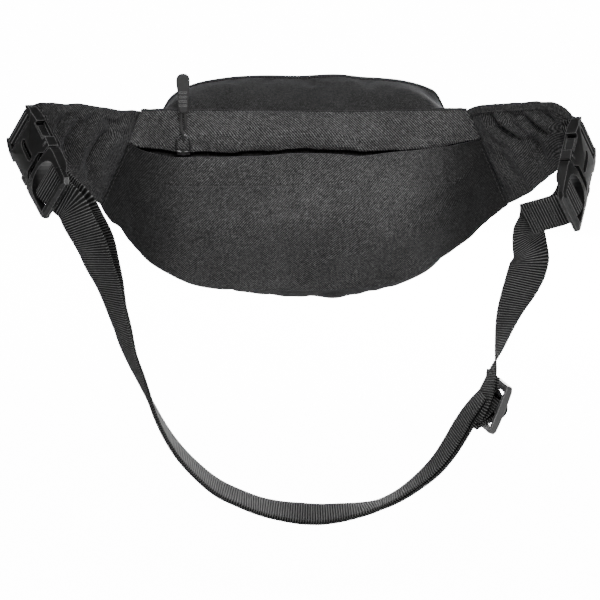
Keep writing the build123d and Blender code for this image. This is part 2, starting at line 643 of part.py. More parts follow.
def zip_grip():
    """Puller grip along +z: rounded head, grooved faces, cross hole at the foot."""
    points = [Vector(x, -GRIP_T / 2, z) for x, z in GRIP_OUTLINE]
    outline = Wire([Edge.make_spline(points), Edge.make_line(points[-1], points[0])])
    s = Solid.extrude(Face(outline), Vector(0, GRIP_T, 0))
    s = soften(s, s.edges(), 1.3)
    for k in range(4):
        for side in (-1, 1):
            s = s - Pos(0, side * (GRIP_T / 2 + 0.25), 5.0 + 3.0 * k) * Box(5.2, 1.0, 1.0)
    s = s - Pos(0, 0, 3.5) * Cylinder(1.75, 9.2)
    return biggest(s)


def zip_cord():
    """Doubled cord: a bight round the ring wire, both strands ending in the grip."""
    other_half = [(-x, -y, z) for x, y, z in reversed(CORD_HALF)]
    points = [Vector(*p) for p in CORD_HALF + [(0, 0, 0)] + other_half]
    path = Edge.make_spline(points, tangents=[Vector(0, 0, -1), Vector(0, 0, 1)])
    cord_section = Plane(origin=points[0], z_dir=Vector(0, 0, -1)) * Circle(CORD_R)
    return sweep(cord_section, path=Wire([path]))


SLIDER, RING, CORD, GRIP = zip_slider(), zip_ring(), zip_cord(), zip_grip()


def facing(origin, z_dir):
    """Location with local z along z_dir and local x along the zip."""
    return Location(Plane(origin=Vector(*origin), x_dir=Vector(1, 0, 0), z_dir=Vector(*z_dir)))


# Zip: slider origin, outward direction, ring direction, puller direction
ZIP_PULLS = {
    "rear": ((-83.5, 0.9, REAR_ZIP_Z), (0, -1, 0), (0, 0, 1), (0, 0, 1)),
    "main": ((-50.0, 74.3, 75.6), (0, 0.77, 0.64), (0, 0.64, -0.77), (0, 0.36, -0.933)),
    "front": ((52.0, FRONT_ZIP_Y, 34.6), (0, 0, 1), (0, 1, 0), (0, 0.30, -0.954)),
}
for name, (origin, *directions) in ZIP_PULLS.items():
    out, ring_dir, pull_dir = map(unit, directions)
    pivot = np.array(origin) + out * RING_LIFT
    knot = pivot + ring_dir * RING_H - pull_dir * CORD_BACK
    save(facing(origin, out) * SLIDER, f"{name}_zip_slider")
    save(facing(pivot, ring_dir) * RING, f"{name}_zip_ring")
    save(facing(knot, pull_dir) * CORD, f"{name}_zip_cord")
    save(facing(knot, pull_dir) * Pos(0, 0, GRIP_START_Z) * GRIP, f"{name}_zip_grip")
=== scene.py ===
"""Waist pack on its belt, built as cloth, webbing, zips and stitching around CAD hardware.

Measurements are in millimetres (UVs in units of 100 mm); Blender works in metres.
+X is the right side and +Z is up. The wearer is towards -Y: "rear" parts face -Y and
"front" parts face +Y. The wings reach out to both sides, and the belt hangs below the pack.
"""
import math

import bmesh
import bpy
import numpy as np
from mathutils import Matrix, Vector, noise

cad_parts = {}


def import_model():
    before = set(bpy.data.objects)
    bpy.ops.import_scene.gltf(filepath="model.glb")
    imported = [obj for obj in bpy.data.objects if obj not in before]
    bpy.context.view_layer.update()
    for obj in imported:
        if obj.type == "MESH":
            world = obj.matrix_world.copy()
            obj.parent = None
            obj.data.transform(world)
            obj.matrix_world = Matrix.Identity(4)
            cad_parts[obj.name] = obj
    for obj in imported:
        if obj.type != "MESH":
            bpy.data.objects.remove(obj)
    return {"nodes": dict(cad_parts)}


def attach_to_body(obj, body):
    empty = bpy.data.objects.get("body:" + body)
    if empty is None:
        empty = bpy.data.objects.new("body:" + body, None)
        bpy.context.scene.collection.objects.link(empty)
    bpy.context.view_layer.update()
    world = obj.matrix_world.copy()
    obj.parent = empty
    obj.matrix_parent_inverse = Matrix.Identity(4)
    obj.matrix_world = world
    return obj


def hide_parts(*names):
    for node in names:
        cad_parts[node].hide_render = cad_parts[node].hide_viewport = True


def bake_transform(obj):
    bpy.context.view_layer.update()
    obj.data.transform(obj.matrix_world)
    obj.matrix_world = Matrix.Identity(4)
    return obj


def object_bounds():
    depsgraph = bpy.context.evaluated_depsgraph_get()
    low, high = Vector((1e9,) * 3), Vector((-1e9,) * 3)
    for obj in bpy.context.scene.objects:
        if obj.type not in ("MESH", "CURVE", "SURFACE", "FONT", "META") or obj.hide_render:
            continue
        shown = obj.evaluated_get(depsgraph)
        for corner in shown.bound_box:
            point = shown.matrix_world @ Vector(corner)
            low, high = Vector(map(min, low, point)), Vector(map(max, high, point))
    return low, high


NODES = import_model()["nodes"]
CAD_BOX = [list(map(float, c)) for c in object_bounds()]
MM = 0.001
UV_PER_MM = 0.01
PI = math.pi
SIGN = {"left": -1, "right": 1}    # direction of each side along X
scene = bpy.context.scene


# ---------------------------------------------------------------- outlines
# Seams and edges of the cloth: (x, y, z), left to right or top to bottom.
POCKET_TOP = [
    (-122.1, 10.0, 38.5), (-114.3, 7.0, 34.5), (-103.6, 3.0, 31.4), (-93.0, -1.0, 29.4),
    (-72.0, -4.0, 29.3), (-37.4, -6.0, 29.6), (-2.8, -7.0, 31.8), (24.8, -7.0, 31.1),
    (37.3, -6.0, 30.0), (60.9, -4.0, 32.4), (84.6, 0.0, 34.6), (105.0, 5.0, 37.8),
    (122.8, 10.0, 41.3)]
SEAM = {
    "left": [(-113.6, 12.0, 60.2), (-122.2, 11.5, 38.4), (-132.3, 12.0, 16.7),
             (-142.3, 12.0, -5.1)],
    "right": [(113.4, 12.0, 60.8), (122.9, 11.5, 41.2), (133.0, 12.0, 18.1),
              (143.0, 12.0, -4.4)]}
BOTTOM = [
    (-142.3, 12.0, -5.1), (-136.0, 11.0, -13.8), (-129.0, 10.0, -20.4), (-122.0, 9.0, -29.1),
    (-115.0, 8.0, -36.8), (-108.0, 7.0, -43.4), (-101.0, 6.5, -48.2), (-94.0, 6.0, -52.4),
    (-87.0, 6.0, -55.6), (-80.0, 6.0, -58.4), (-73.0, 6.0, -60.2), (-59.0, 6.0, -62.3),
    (-37.9, 6.0, -63.4), (-2.8, 6.0, -63.7), (25.3, 6.0, -63.4), (53.4, 6.0, -60.6),
    (67.4, 6.0, -57.7), (74.4, 6.0, -55.2), (81.4, 6.5, -51.4), (88.4, 7.0, -46.9),
    (95.4, 7.5, -41.6), (102.4, 8.0, -36.8), (109.4, 8.5, -31.9), (116.4, 9.5, -26.3),
    (130.5, 11.0, -14.2), (143.0, 12.0, -4.4)]
YOKE_TOP = [
    (-113.6, 12.0, 60.2), (-100.3, 9.5, 60.0), (-72.3, 6.5, 60.1), (-37.5, 4.5, 59.9),
    (-2.8, 3.5, 59.8), (25.0, 4.0, 59.6), (66.7, 6.5, 59.9), (94.6, 9.0, 60.4),
    (113.4, 12.0, 60.8)]
FRONT_SEAM_TOP = [
    (-103.2, 58.0, 60.9), (-96.0, 58.0, 66.3), (-85.2, 58.0, 73.1), (-74.4, 58.0, 77.0),
    (-63.7, 58.0, 79.1), (-52.9, 58.0, 80.6), (-31.4, 58.0, 81.8), (-2.8, 58.0, 81.5),
    (25.8, 58.0, 82.5), (40.2, 58.0, 80.9), (54.5, 58.0, 80.1), (68.8, 58.0, 78.6),
    (83.1, 58.0, 75.2), (90.3, 58.0, 72.4), (97.5, 58.0, 68.1), (104.8, 58.0, 62.3)]

# Cross-sections of the pack body by y: upper and lower corner of the right half, then its
# outline from top centre to bottom centre, all as (x, z). The left half mirrors them.
SECTIONS = {
    20.0: ((108, 54), (125, -6), [
        (0, 70), (52, 70), (92, 66), (112, 50), (122, 25), (126, -2), (108, -32), (76, -58),
        (38, -68), (0, -70)]),
    40.0: ((103, 56), (114, -8), [
        (0, 78), (50, 77.5), (86, 72), (104, 54), (113, 27), (115, -3), (100, -33),
        (72, -58), (36, -69), (0, -71.5)]),
    58.0: ((98, 61), (105.5, -8), [
        (0, 82.5), (50, 81.2), (82, 75.5), (99, 60), (106, 28), (106, -4), (94, -32),
        (68, -55), (34, -66), (0, -68)]),
    70.0: ((91, 57), (98, -8), [
        (0, 80), (52, 79.4), (79, 71.5), (94, 52), (99, 26), (98, -4), (87, -30), (63, -51),
        (32, -60), (0, -62)]),
    77.0: ((84, 52), (90.5, -8), [
        (0, 72), (46, 71.2), (73, 64), (87, 47), (91.5, 24), (90.5, -4), (80, -27.5),
        (58.5, -46), (30, -54.5), (0, -56.5)])}
# Right half of the front pocket outline (x, z), with its corners.
POCKET_HALF = [(0, 34), (46, 33.6), (68, 30), (76, 18), (76, 2), (68, -17), (52, -31),
               (26, -39), (0, -41)]
POCKET_CORNERS = (70, 28), (64, -22)

# Wings: edges (x, y, z) from the side seam outwards; folds as (points (x, z), width, depth);
# how strongly the folds press the wearer side; seed of the cloth ripple.
WINGS = {
    "left": dict(
        top=[(-113.6, 12.0, 60.2), (-117.0, 10.0, 61.6), (-125.0, 5.0, 62.1),
             (-137.9, -6.0, 64.5), (-150.7, -16.0, 67.1), (-163.6, -24.0, 68.0),
             (-172.8, -31.0, 68.9), (-181.2, -35.5, 68.5), (-187.5, -36.0, 64.0)],
        bottom=[(-142.3, 12.0, -5.1), (-149.6, 5.0, 0.2), (-156.4, 0.0, 4.8),
                (-162.4, -6.0, 11.2), (-167.4, -11.0, 19.8), (-173.0, -15.5, 28.7),
                (-179.0, -18.5, 36.5), (-189.5, -19.5, 41.0)],
        folds=[([(-151, 56), (-158, 46), (-162, 34), (-160, 22)], 3.4, 2.6),
               ([(-130, 50), (-139, 40), (-146, 28), (-150, 16)], 3.2, 2.3),
               ([(-143, 60), (-149, 52), (-153, 42)], 2.2, 1.3),
               ([(-160, 60), (-166, 52), (-169, 43)], 2.4, 1.6),
               ([(-145, 22), (-149, 12)], 2.6, 1.4),
               ([(-122, 55), (-130, 52), (-138, 53)], 2.2, 0.9)],
        strength=2.3, seed=2.0),
    "right": dict(
        top=[(113.4, 12.0, 60.8), (116.8, 10.0, 62.9), (122.1, 5.0, 64.5),
             (135.0, -6.0, 66.2), (147.8, -16.0, 67.7), (160.5, -26.0, 69.0),
             (170.4, -33.5, 67.8), (178.6, -35.0, 62.7), (184.2, -34.5, 57.9)],
        bottom=[(143.0, 12.0, -4.4), (149.0, 8.0, -1.0), (155.5, 4.0, 3.3),
                (163.0, -2.0, 9.8), (170.0, -8.0, 16.5), (176.5, -14.0, 23.0),
                (182.0, -19.0, 29.0), (187.5, -21.0, 35.0)],
        folds=[([(128, 60), (131, 53), (137, 47), (144, 43), (151, 40)], 2.4, 3.2),
               ([(147, 61), (153, 55), (161, 49), (167, 46)], 2.2, 2.6),
               ([(154, 46), (160, 35), (164, 27)], 3.8, 2.6),
               ([(134, 34), (141, 22), (146, 12)], 4.0, 1.8),
               ([(160, 62), (167, 57), (172, 51)], 2.2, 1.6),
               ([(139, 62), (145, 58), (150, 60)], 2.0, 1.2)],
        strength=1.7, seed=6.0)}


# ------------------------------------------------------- vectors and curves
def array(values):
    return np.array(values, float)


def unit(v):
    v = array(v)
    return v / np.maximum(np.linalg.norm(v, axis=-1, keepdims=True), 1e-12)


def perpendicular(v, axis):
    """Unit vector along the part of v that is square to the unit vector axis."""
    v = array(v)
    return unit(v - axis * (v * axis).sum(-1, keepdims=True))


def tangents(path):
    return unit(np.gradient(path, axis=0))


def arc_length(path):
    steps = np.linalg.norm(np.diff(path, axis=0), axis=1)
    return np.concatenate([[0], np.cumsum(steps)])


def along(path, s, values=None):
    """Path points, or values given per path point, at arc length s."""
    values = path if values is None else values
    run = arc_length(path)
    return np.stack([np.interp(s, run, column) for column in values.T], -1)


def resample(path, count):
    return along(path, np.linspace(0, arc_length(path)[-1], count))


def extended(knots):
    """Knots with one extrapolated at each end."""
    return np.concatenate([[2 * knots[0] - knots[1]], knots, [2 * knots[-1] - knots[-2]]])


def spline(knots, steps):
    """Smooth rows through all knots but the first and last; steps counts rows per span."""
    rows = []
    for i, count in enumerate(steps):
        a, b, c, d = knots[i:i + 4]
        before, span, after = (
            np.maximum(np.linalg.norm(v, axis=-1, keepdims=True), 1e-9)
            for v in (b - a, c - b, d - c))
        start = ((b - a) / before * span + (c - b) / span * before) / (before + span) * span
        end = ((c - b) / span * after + (d - c) / after * span) / (span + after) * span
        for k in range(count):
            t = k / count
            rows.append((2 * t ** 3 - 3 * t * t + 1) * b + (t ** 3 - 2 * t * t + t) * start
                        + (-2 * t ** 3 + 3 * t * t) * c + (t ** 3 - t * t) * end)
    rows.append(knots[-2])
    return np.array(rows)


def smooth_curve(points, count, closed=False):
    """Evenly spaced points on a smooth curve; a closed one repeats its first point."""
    p = array(points)
    knots = np.vstack([p[-1:], p, p[:2]]) if closed else extended(p)
    return resample(spline(knots, [16] * (len(knots) - 3)), count)


def loft(rings, steps):
    return spline(extended(np.array(rings)), steps)


def coons(top, bottom, left, right):
    """Grid (rows top to bottom, columns left to right) from four boundary curves."""
    u = np.linspace(0, 1, len(top))[None, :, None]
    v = np.linspace(0, 1, len(left))[:, None, None]
    ruled_v = (1 - v) * top[None] + v * bottom[None]
    ruled_u = (1 - u) * left[:, None] + u * right[:, None]
    corners = ((1 - u) * (1 - v) * top[0] + u * (1 - v) * top[-1]
               + (1 - u) * v * bottom[0] + u * v * bottom[-1])
    return ruled_v + ruled_u - corners


def fractions(grid):
    """0..1 across the columns and down the rows of a grid."""
    rows, columns = grid.shape[:2]
    return np.linspace(0, 1, columns)[None], np.linspace(0, 1, rows)[:, None]


def dome(t, power):
    """1 in the middle of 0..1, falling to 0 at both ends."""
    return 1 - abs(2 * t - 1) ** power


def grid_normals(grid):
    return unit(np.cross(np.gradient(grid, axis=1), np.gradient(grid, axis=0)))


def edge_mask(grid):
    mask = np.ones(grid.shape[:2])
    mask[1:-1, 1:-1] = 0
    return mask


# ------------------------------------------------------------------- meshes
def configure(thing, **settings):
    for field, value in settings.items():
        setattr(thing, field, value)


def mesh_object(name, verts, faces, material, uvs=None):
    mesh = bpy.data.meshes.new(name)
    mesh.from_pydata(
        [tuple(map(float, v)) for v in np.reshape(verts, (-1, 3)) * MM], [], faces)
    mesh.update()
    ob = bpy.data.objects.new(name, mesh)
    scene.collection.objects.link(ob)
    if uvs is not None:
        layer = mesh.uv_layers.new(name="UVMap")
        index = np.empty(len(mesh.loops), int)
        mesh.loops.foreach_get("vertex_index", index)
        layer.data.foreach_set("uv", np.reshape(uvs, (-1, 2))[index].ravel())
    mesh.polygons.foreach_set("use_smooth", [True] * len(mesh.polygons))
    mesh.materials.append(material)
    return ob


def grid_faces(rows, columns, flip=False, wrap=False):
    faces = []
    for i in range(rows - 1):
        for j in range(columns if wrap else columns - 1):
            k = (j + 1) % columns
            face = (i * columns + j, i * columns + k,
                    (i + 1) * columns + k, (i + 1) * columns + j)
            faces.append(face[::-1] if flip else face)
    return faces


def tube_faces(rows, sides, first=0):
    """Faces of a capped tube whose vertices start at index first."""
    faces = grid_faces(rows, sides, wrap=True)
    faces += [tuple(range(sides))[::-1], tuple(range((rows - 1) * sides, rows * sides))]
    return [tuple(first + i for i in face) for face in faces]


def grid_uv(grid):
    """Cloth coordinates: distance along the rows, from the middle, and down the columns."""
    uv = np.zeros((*grid.shape[:2], 2))
    uv[:, 1:, 0] = np.cumsum(np.linalg.norm(np.diff(grid, axis=1), axis=2), axis=1)
    uv[:, :, 0] -= uv[:, grid.shape[1] // 2, 0][:, None].copy()
    uv[1:, :, 1] = np.cumsum(np.linalg.norm(np.diff(grid, axis=0), axis=2), axis=0)
    return uv * UV_PER_MM


def sheet(name, grid, material, flip=False):
    faces = grid_faces(*grid.shape[:2], flip)
    return mesh_object(name, grid, faces, material, grid_uv(grid))


def bake(ob, *modifiers):
    """Applies modifiers, given as (type, settings), in one pass and keeps faces smooth."""
    for kind, settings in modifiers:
        configure(ob.modifiers.new(kind.lower(), kind), **settings)
    bpy.context.view_layer.update()
    depsgraph = bpy.context.evaluated_depsgraph_get()
    mesh = bpy.data.meshes.new_from_object(
        ob.evaluated_get(depsgraph), preserve_all_data_layers=True, depsgraph=depsgraph)
    old = ob.data
    ob.modifiers.clear()
    ob.data = mesh
    mesh.name = ob.name
    if old.users == 0:
        bpy.data.meshes.remove(old)
    mesh.polygons.foreach_set("use_smooth", [True] * len(mesh.polygons))


SUBDIVISION = ("SUBSURF", dict(levels=1, render_levels=1))


def subdivide(ob):
    bake(ob, SUBDIVISION)


def thicken(ob, thickness):
    bake(ob, ("SOLIDIFY", dict(thickness=thickness * MM, offset=-1, use_even_offset=False)))


def weld(ob, metres=2e-5):
    bake(ob, ("WELD", dict(merge_threshold=metres)))


def vertex_values(ob, field):
    values = np.empty(len(ob.data.vertices) * 3)
    ob.data.vertices.foreach_get(field, values)
    return values.reshape(-1, 3)


def coords(ob):
    return vertex_values(ob, "co") / MM


def set_coords(ob, points):
    ob.data.vertices.foreach_set("co", (points * MM).ravel())
    ob.data.update()


def join(name, objects):
    first = objects[0]
    with bpy.context.temp_override(active_object=first, object=first,
                                   selected_objects=objects,
                                   selected_editable_objects=objects):
        bpy.ops.object.join()
    first.name = name
    first.data.name = name
    return first


def attach(ob, body, slot, *replaced):
    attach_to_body(ob, body)
    if replaced:
        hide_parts(*replaced)


def puff(ob, pinned, *, pressure, shrink, cap, stiffness=12.0, frames=18):
    """Cloth simulation: swells a panel between its pinned seams, moving no point past cap."""
    pinned = np.ravel(pinned)
    start = coords(ob)
    group = ob.vertex_groups.new(name="pin")
    for i, weight in enumerate(pinned):
        if weight > 0:
            group.add([i], float(weight), "REPLACE")
    cloth = ob.modifiers.new("cloth", "CLOTH")
    configure(cloth.settings, quality=6, mass=0.25, tension_stiffness=stiffness,
              compression_stiffness=stiffness, shear_stiffness=6, bending_stiffness=0.35,
              air_damping=4, vertex_group_mass="pin", pin_stiffness=2.0, use_pressure=True,
              uniform_pressure_force=pressure, shrink_min=shrink, shrink_max=shrink)
    cloth.settings.effector_weights.gravity = 0
    configure(cloth.collision_settings, use_collision=False, use_self_collision=False)
    configure(cloth.point_cache, frame_start=1, frame_end=frames)
    for frame in range(1, frames + 1):
        scene.frame_set(frame)
    end = coords(ob.evaluated_get(bpy.context.evaluated_depsgraph_get()))
    ob.modifiers.clear()
    ob.vertex_groups.clear()
    scene.frame_set(1)
    # A simulation that blew up leaves the panel as it was.
    if not np.isfinite(end).all():
        return
    move = end - start
    size = np.linalg.norm(move, axis=1, keepdims=True)
    move *= np.where(size > 1e-6, cap * np.tanh(size / cap) / np.maximum(size, 1e-6), 0)
    set_coords(ob, start + move * (1 - np.clip(pinned, 0, 1))[:, None])


def ripple(ob, *, height, scale, seed, mask=1.0):
    """Small seeded slackness of the cloth, along the surface normal."""
    points = coords(ob)
    offset = array([seed, -seed * 0.7, 1.3 * seed])
    waves = np.array([noise.noise(Vector(p / scale + offset)) for p in points]) * mask
    set_coords(ob, points + vertex_values(ob, "normal") * (waves * height)[:, None])


def tube(name, path, radius, material, *, up, sides=10, flat=1.0, closed=False, ribs=None):
    """Cord along a path; flat squeezes it across up, ribs are (pitch, relative depth)."""
    rows = len(path)
    tangent = (unit(np.roll(path, -1, 0) - np.roll(path, 1, 0)) if closed
               else tangents(path))
    a = perpendicular(up, tangent)
    b = np.cross(tangent, a)
    run = arc_length(path)
    reach = np.full(rows, radius)
    if ribs:
        pitch, depth = ribs
        reach = radius * (1 + depth * np.cos(2 * PI * run / pitch))
    reach = reach[:, None, None]
    turn = 2 * PI * np.arange(sides)[:, None] / sides
    verts = (path[:, None] + a[:, None] * np.cos(turn) * reach
             + b[:, None] * np.sin(turn) * reach * flat)
    uvs = np.stack(np.broadcast_arrays(
        run[:, None] * UV_PER_MM, np.arange(sides) / sides * 0.1), -1)
    if closed:
        last = (rows - 1) * sides
        faces = grid_faces(rows, sides, wrap=True)
        faces += [(last + k, last + (k + 1) % sides, (k + 1) % sides, k)
                  for k in range(sides)]
    else:
        faces = tube_faces(rows, sides)
    return mesh_object(name, verts, [face[::-1] for face in faces], material, uvs)


# Stations of small six-sided beads.
BEAD_ANGLES = [2 * PI * k / 6 for k in range(6)]
STITCH_STATIONS = [    # fraction of the length, relative radius
    (0.0, 0.25), (0.12, 0.75), (0.35, 1.0), (0.65, 1.0), (0.88, 0.75), (1.0, 0.25)]


def stitches(name, path, normals, material, *, length, gap, radius, lift=0.05):
    """A run of thread: one small rounded bead per stitch."""
    total = arc_length(path)[-1]
    verts, faces = [], []
    s = gap
    while s + length < total:
        start, end = along(path, array([s, s + length]))
        normal = unit(along(path, s + length / 2, normals))
        side = unit(np.cross(unit(end - start), normal))
        faces += tube_faces(len(STITCH_STATIONS), 6, first=len(verts))
        for u, swell in STITCH_STATIONS:
            centre = start + (end - start) * u + normal * (lift + 0.15 * math.sin(PI * u))
            verts += [
                centre + (side * math.cos(f) + normal * math.sin(f) * 0.75) * radius * swell
                for f in BEAD_ANGLES]
        s += length + gap
    return mesh_object(name, verts, faces, material)


# ---------------------------------------------------------------- materials
class Value:
    """A shader socket; arithmetic on it adds Math nodes to its tree."""

    def __init__(self, socket):
        self.socket = socket

    def __add__(self, other):
        return maths("ADD", self, other)

    def __sub__(self, other):
        return maths("SUBTRACT", self, other)

    def __rsub__(self, other):
        return maths("SUBTRACT", other, self)

    def __mul__(self, other):
        return maths("MULTIPLY", self, other)

    def __pow__(self, other):
        return maths("POWER", self, other)

    def __abs__(self):
        return maths("ABSOLUTE", self)

    def clamped(self):
        self.socket.node.use_clamp = True
        return self


def feed(target, value):
    """Links a Value to an input socket, or sets the input to a constant."""
    if isinstance(value, Value):
        target.id_data.links.new(value.socket, target)
    else:
        target.default_value = value


def add_node(tree, kind, inputs, **settings):
    node = tree.nodes.new(kind)
    configure(node, **settings)
    for key, value in inputs.items():
        feed(node.inputs[key], value)
    return node


def maths(operation, *operands):
    tree = next(v.socket.id_data for v in operands if isinstance(v, Value))
    inputs = dict(enumerate(operands))
    return Value(add_node(tree, "ShaderNodeMath", inputs, operation=operation).outputs[0])


def ridges(value, pitch):
    """Rounded ridges with sharp valleys, one per pitch."""
    return abs(maths("SINE", value * (PI / pitch)))


class Material:
    def __init__(self, name):
        self.material = bpy.data.materials.new(name)
        self.material.use_nodes = True
        self.tree = self.material.node_tree
        self.tree.nodes.clear()
        self.output = add_node(self.tree, "ShaderNodeOutputMaterial", {})
        self.surface = add_node(self.tree, "ShaderNodeBsdfPrincipled", {})
        feed(self.output.inputs[0], Value(self.surface.outputs[0]))
        self.coords = add_node(self.tree, "ShaderNodeTexCoord", {})

    def value(self, kind, inputs, output=0, **settings):
        return Value(add_node(self.tree, kind, inputs, **settings).outputs[output])

    def split(self, space):
        """x, y and z of the "UV" or "Object" coordinates."""
        source = {0: Value(self.coords.outputs[space])}
        node = add_node(self.tree, "ShaderNodeSeparateXYZ", source)
        return [Value(output) for output in node.outputs]

    def noise(self, scale, detail, roughness=0.55):
        return self.value("ShaderNodeTexNoise", {
            "Vector": Value(self.coords.outputs["Object"]), "Scale": scale,
            "Detail": detail, "Roughness": roughness}, output="Fac")

    def ramp(self, factor, *stops):
        """Grey ramp; stops are (position, brightness)."""
        node = add_node(self.tree, "ShaderNodeValToRGB", {0: factor})
        elements = node.color_ramp.elements
        while len(elements) < len(stops):
            elements.new(0.5)
        for element, (position, grey) in zip(elements, stops):
            element.position = position
            element.color = (grey, grey, grey, 1)
        return Value(node.outputs[0])

    def bump(self, height, strength, distance, normal=None):
        inputs = {"Strength": strength, "Distance": distance, "Height": height}
        if normal:
            inputs["Normal"] = normal
        return self.value("ShaderNodeBump", inputs)

    def finish(self, inputs):
        """Sets the inputs of the surface shader."""
        for key, value in inputs.items():
            feed(self.surface.inputs[key], value)
        return self.material


def fabric(name, dark, light, *, pitch, bump, roughness=0.8, sheen=0.1, slope=1.0,
           painted_side_shade=None):
    """Twill: yarns crossing at right angles (pitch in mm) with a diagonal rib.

    The shade argument is painted shade that darkens the colour towards both sides in x: (|x|
    where the shade starts, |x| where it is full, brightness there).
    """
    m = Material(name)
    uv = m.split("UV")
    jitter = m.noise(900, 2)
    x, y = (uv[i] * 100.0 + (jitter - 0.5) * 0.5 for i in range(2))
    rib = ridges(x + y * slope, pitch)
    weft = ridges(x, pitch * 0.52)
    warp = ridges(y, pitch * 0.52)
    height = rib * 0.62 + (weft + warp) * 0.5 * 0.38
    broad = m.noise(22, 4)
    fine = m.noise(1500, 2)
    speck = m.noise(620, 3, 0.7)
    tone = height ** 1.6 * 0.72 + fine * 0.18 + (speck - 0.5) * 0.95 + (broad - 0.5) * 0.30
    color = m.ramp(tone, (0.13, dark * 0.2), (0.49, (dark + light) * 0.38),
                   (0.95, light * 2.7))
    # Painted shade: the colour darkens towards both sides by |x| of the object coordinates.
    if painted_side_shade:
        start, full, brightness = painted_side_shade
        shade = m.value("ShaderNodeMapRange", {
            "Value": abs(m.split("Object")[0]), "From Min": start, "From Max": full,
            "To Min": 1.0, "To Max": brightness}, interpolation_type="SMOOTHSTEP")
        color = m.value("ShaderNodeVectorMath", {0: color, "Scale": shade},
                        operation="SCALE")
    slack = m.bump(m.noise(60, 3), 0.25, 0.0012)
    return m.finish({
        "Base Color": color, "Roughness": broad * 0.12 + (roughness - 0.06),
        "Specular IOR Level": 0.25, "Sheen Weight": sheen, "Sheen Roughness": 0.45,
        "Sheen Tint": (0.55, 0.56, 0.6, 1), "Normal": m.bump(height, bump, 0.00022, slack)})


WEB_PITCH = 1.75    # spacing of the webbing ribs, in the mesh and in the material


def ribbed_webbing(name, dark, light):
    """The ribs are in the mesh; the material adds yarns and paints highlights on the rib
    crests.
    """
    m = Material(name)
    u, v, _ = m.split("UV")
    s = v * 100.0
    x = u * 100.0
    # Painted highlight along each rib crest.
    painted_rib_highlight = ((maths("COSINE", s * (2 * PI / WEB_PITCH)) + 1.0) * 0.5) ** 3.2
    yarn = ridges(x + s * 0.5, 0.9)
    fine = m.noise(1300, 2)
    broad = m.noise(30, 3)
    tone = painted_rib_highlight * 0.66 + yarn * 0.16 + (fine - 0.5) * 0.45 + (broad - 0.5) * 0.3
    return m.finish({
        "Base Color": m.ramp(tone, (0.14, dark), (0.5, dark + (light - dark) * 0.22),
                             (0.85, light)),
        "Roughness": 0.74, "Specular IOR Level": 0.22, "Sheen Weight": 0.05,
        "Normal": m.bump(yarn * 0.5 + fine * 0.6, 0.5, 0.0002)})


def plastic(name, base, *, roughness, grain, specular, scale=1400):
    """Moulded plastic with a fine grain and painted highlights on its edges and corners."""
    m = Material(name)
    fine = m.noise(scale, 3)
    broad = m.noise(70, 4)
    geometry = add_node(m.tree, "ShaderNodeNewGeometry", {})
    # Painted highlight on convex edges, from pointiness.
    edge = ((Value(geometry.outputs["Pointiness"]) - 0.5) * 3.0).clamped()
    tone = broad * 0.5 + fine * 0.25 + edge
    # Painted highlight on the corners: where the rounded normal leaves the face normal, the
    # colour is lighter.
    rounded = m.value("ShaderNodeBevel", {"Radius": 0.0009}, output="Normal", samples=4)
    facing = m.value("ShaderNodeVectorMath", {0: rounded, 1: Value(geometry.outputs["Normal"])},
                     output="Value", operation="DOT_PRODUCT")
    painted_corner_highlight = ((1.0 - facing) * 9.0).clamped()
    return m.finish({
        "Base Color": m.ramp(tone * 0.5 + painted_corner_highlight * 0.5, (0.1, base * 0.7), (0.35, base),
                             (0.5, base * 2.2), (0.85, base * 5.0 + 0.15)),
        "Roughness": broad * 0.16 + (roughness - 0.08), "Specular IOR Level": specular,
        "Normal": m.bump(fine, grain, 0.00008, m.bump(broad, 0.08, 0.0006))})


def metal(name, base, roughness):
    m = Material(name)
    fine = m.noise(500, 3)
    broad = m.noise(90, 4)
    return m.finish({
        "Base Color": m.ramp(broad, (0.3, base * 0.6), (0.7, base)),
        "Roughness": fine * 0.2 + (roughness - 0.1), "Metallic": 1.0,
        "Normal": m.bump(fine, 0.15, 0.00006)})


def braid(name, base):
    """Diagonal strands crossing in the XZ plane."""
    m = Material(name)
    x, _, z = m.split("Object")
    z = z * 1000.0
    x = x * 1000.0
    height = (ridges(z + x, 0.7) + ridges(z - x, 0.7)) * 0.5
    return m.finish({
        "Base Color": m.ramp(height, (0.2, base * 0.5), (1.0, base * 1.6)),
        "Roughness": 0.75, "Normal": m.bump(height, 0.7, 0.0002)})


TWILL = fabric("twill_pack", 0.022, 0.085, pitch=1.55, sheen=0.22, bump=0.75)
# The rear pocket's colour carries painted shade towards its sides.
POCKET_TWILL = fabric("twill_pocket", 0.022, 0.085, pitch=1.75, sheen=0.2, bump=0.9,
                      painted_side_shade=(0.070, 0.118, 0.22))
YOKE_TWILL = fabric("twill_yoke", 0.024, 0.092, pitch=1.9, slope=-1.0, sheen=0.22, bump=0.95)
WING_TWILL = fabric("twill_wing", 0.014, 0.056, pitch=1.75, roughness=0.82, sheen=0.18,
                    bump=0.8)
GUSSET_TWILL = fabric("twill_gusset", 0.012, 0.042, pitch=1.6, roughness=0.84, sheen=0.2,
                      bump=0.6)
BINDING = fabric("grosgrain_binding", 0.014, 0.052, pitch=1.1, slope=0.15, sheen=0.15,
                 bump=0.8)
ZIP_TAPE = fabric("zip_tape_weave", 0.010, 0.032, pitch=0.9, slope=0.0, roughness=0.85,
                  bump=0.5)
LINING = fabric("lining_weave", 0.012, 0.03, pitch=0.8, slope=0.0, roughness=0.9, bump=0.4)
WEBBING = ribbed_webbing("webbing_ribbed", 0.0008, 0.21)
THREAD = braid("thread", 0.050)
LIGHT_THREAD = braid("thread_light", 0.055)
ACETAL = plastic("acetal_black", 0.010, roughness=0.30, grain=0.30, specular=0.5)
ADJUSTER_ACETAL = plastic("acetal_adjuster", 0.085, roughness=0.30, grain=0.25, specular=0.6)
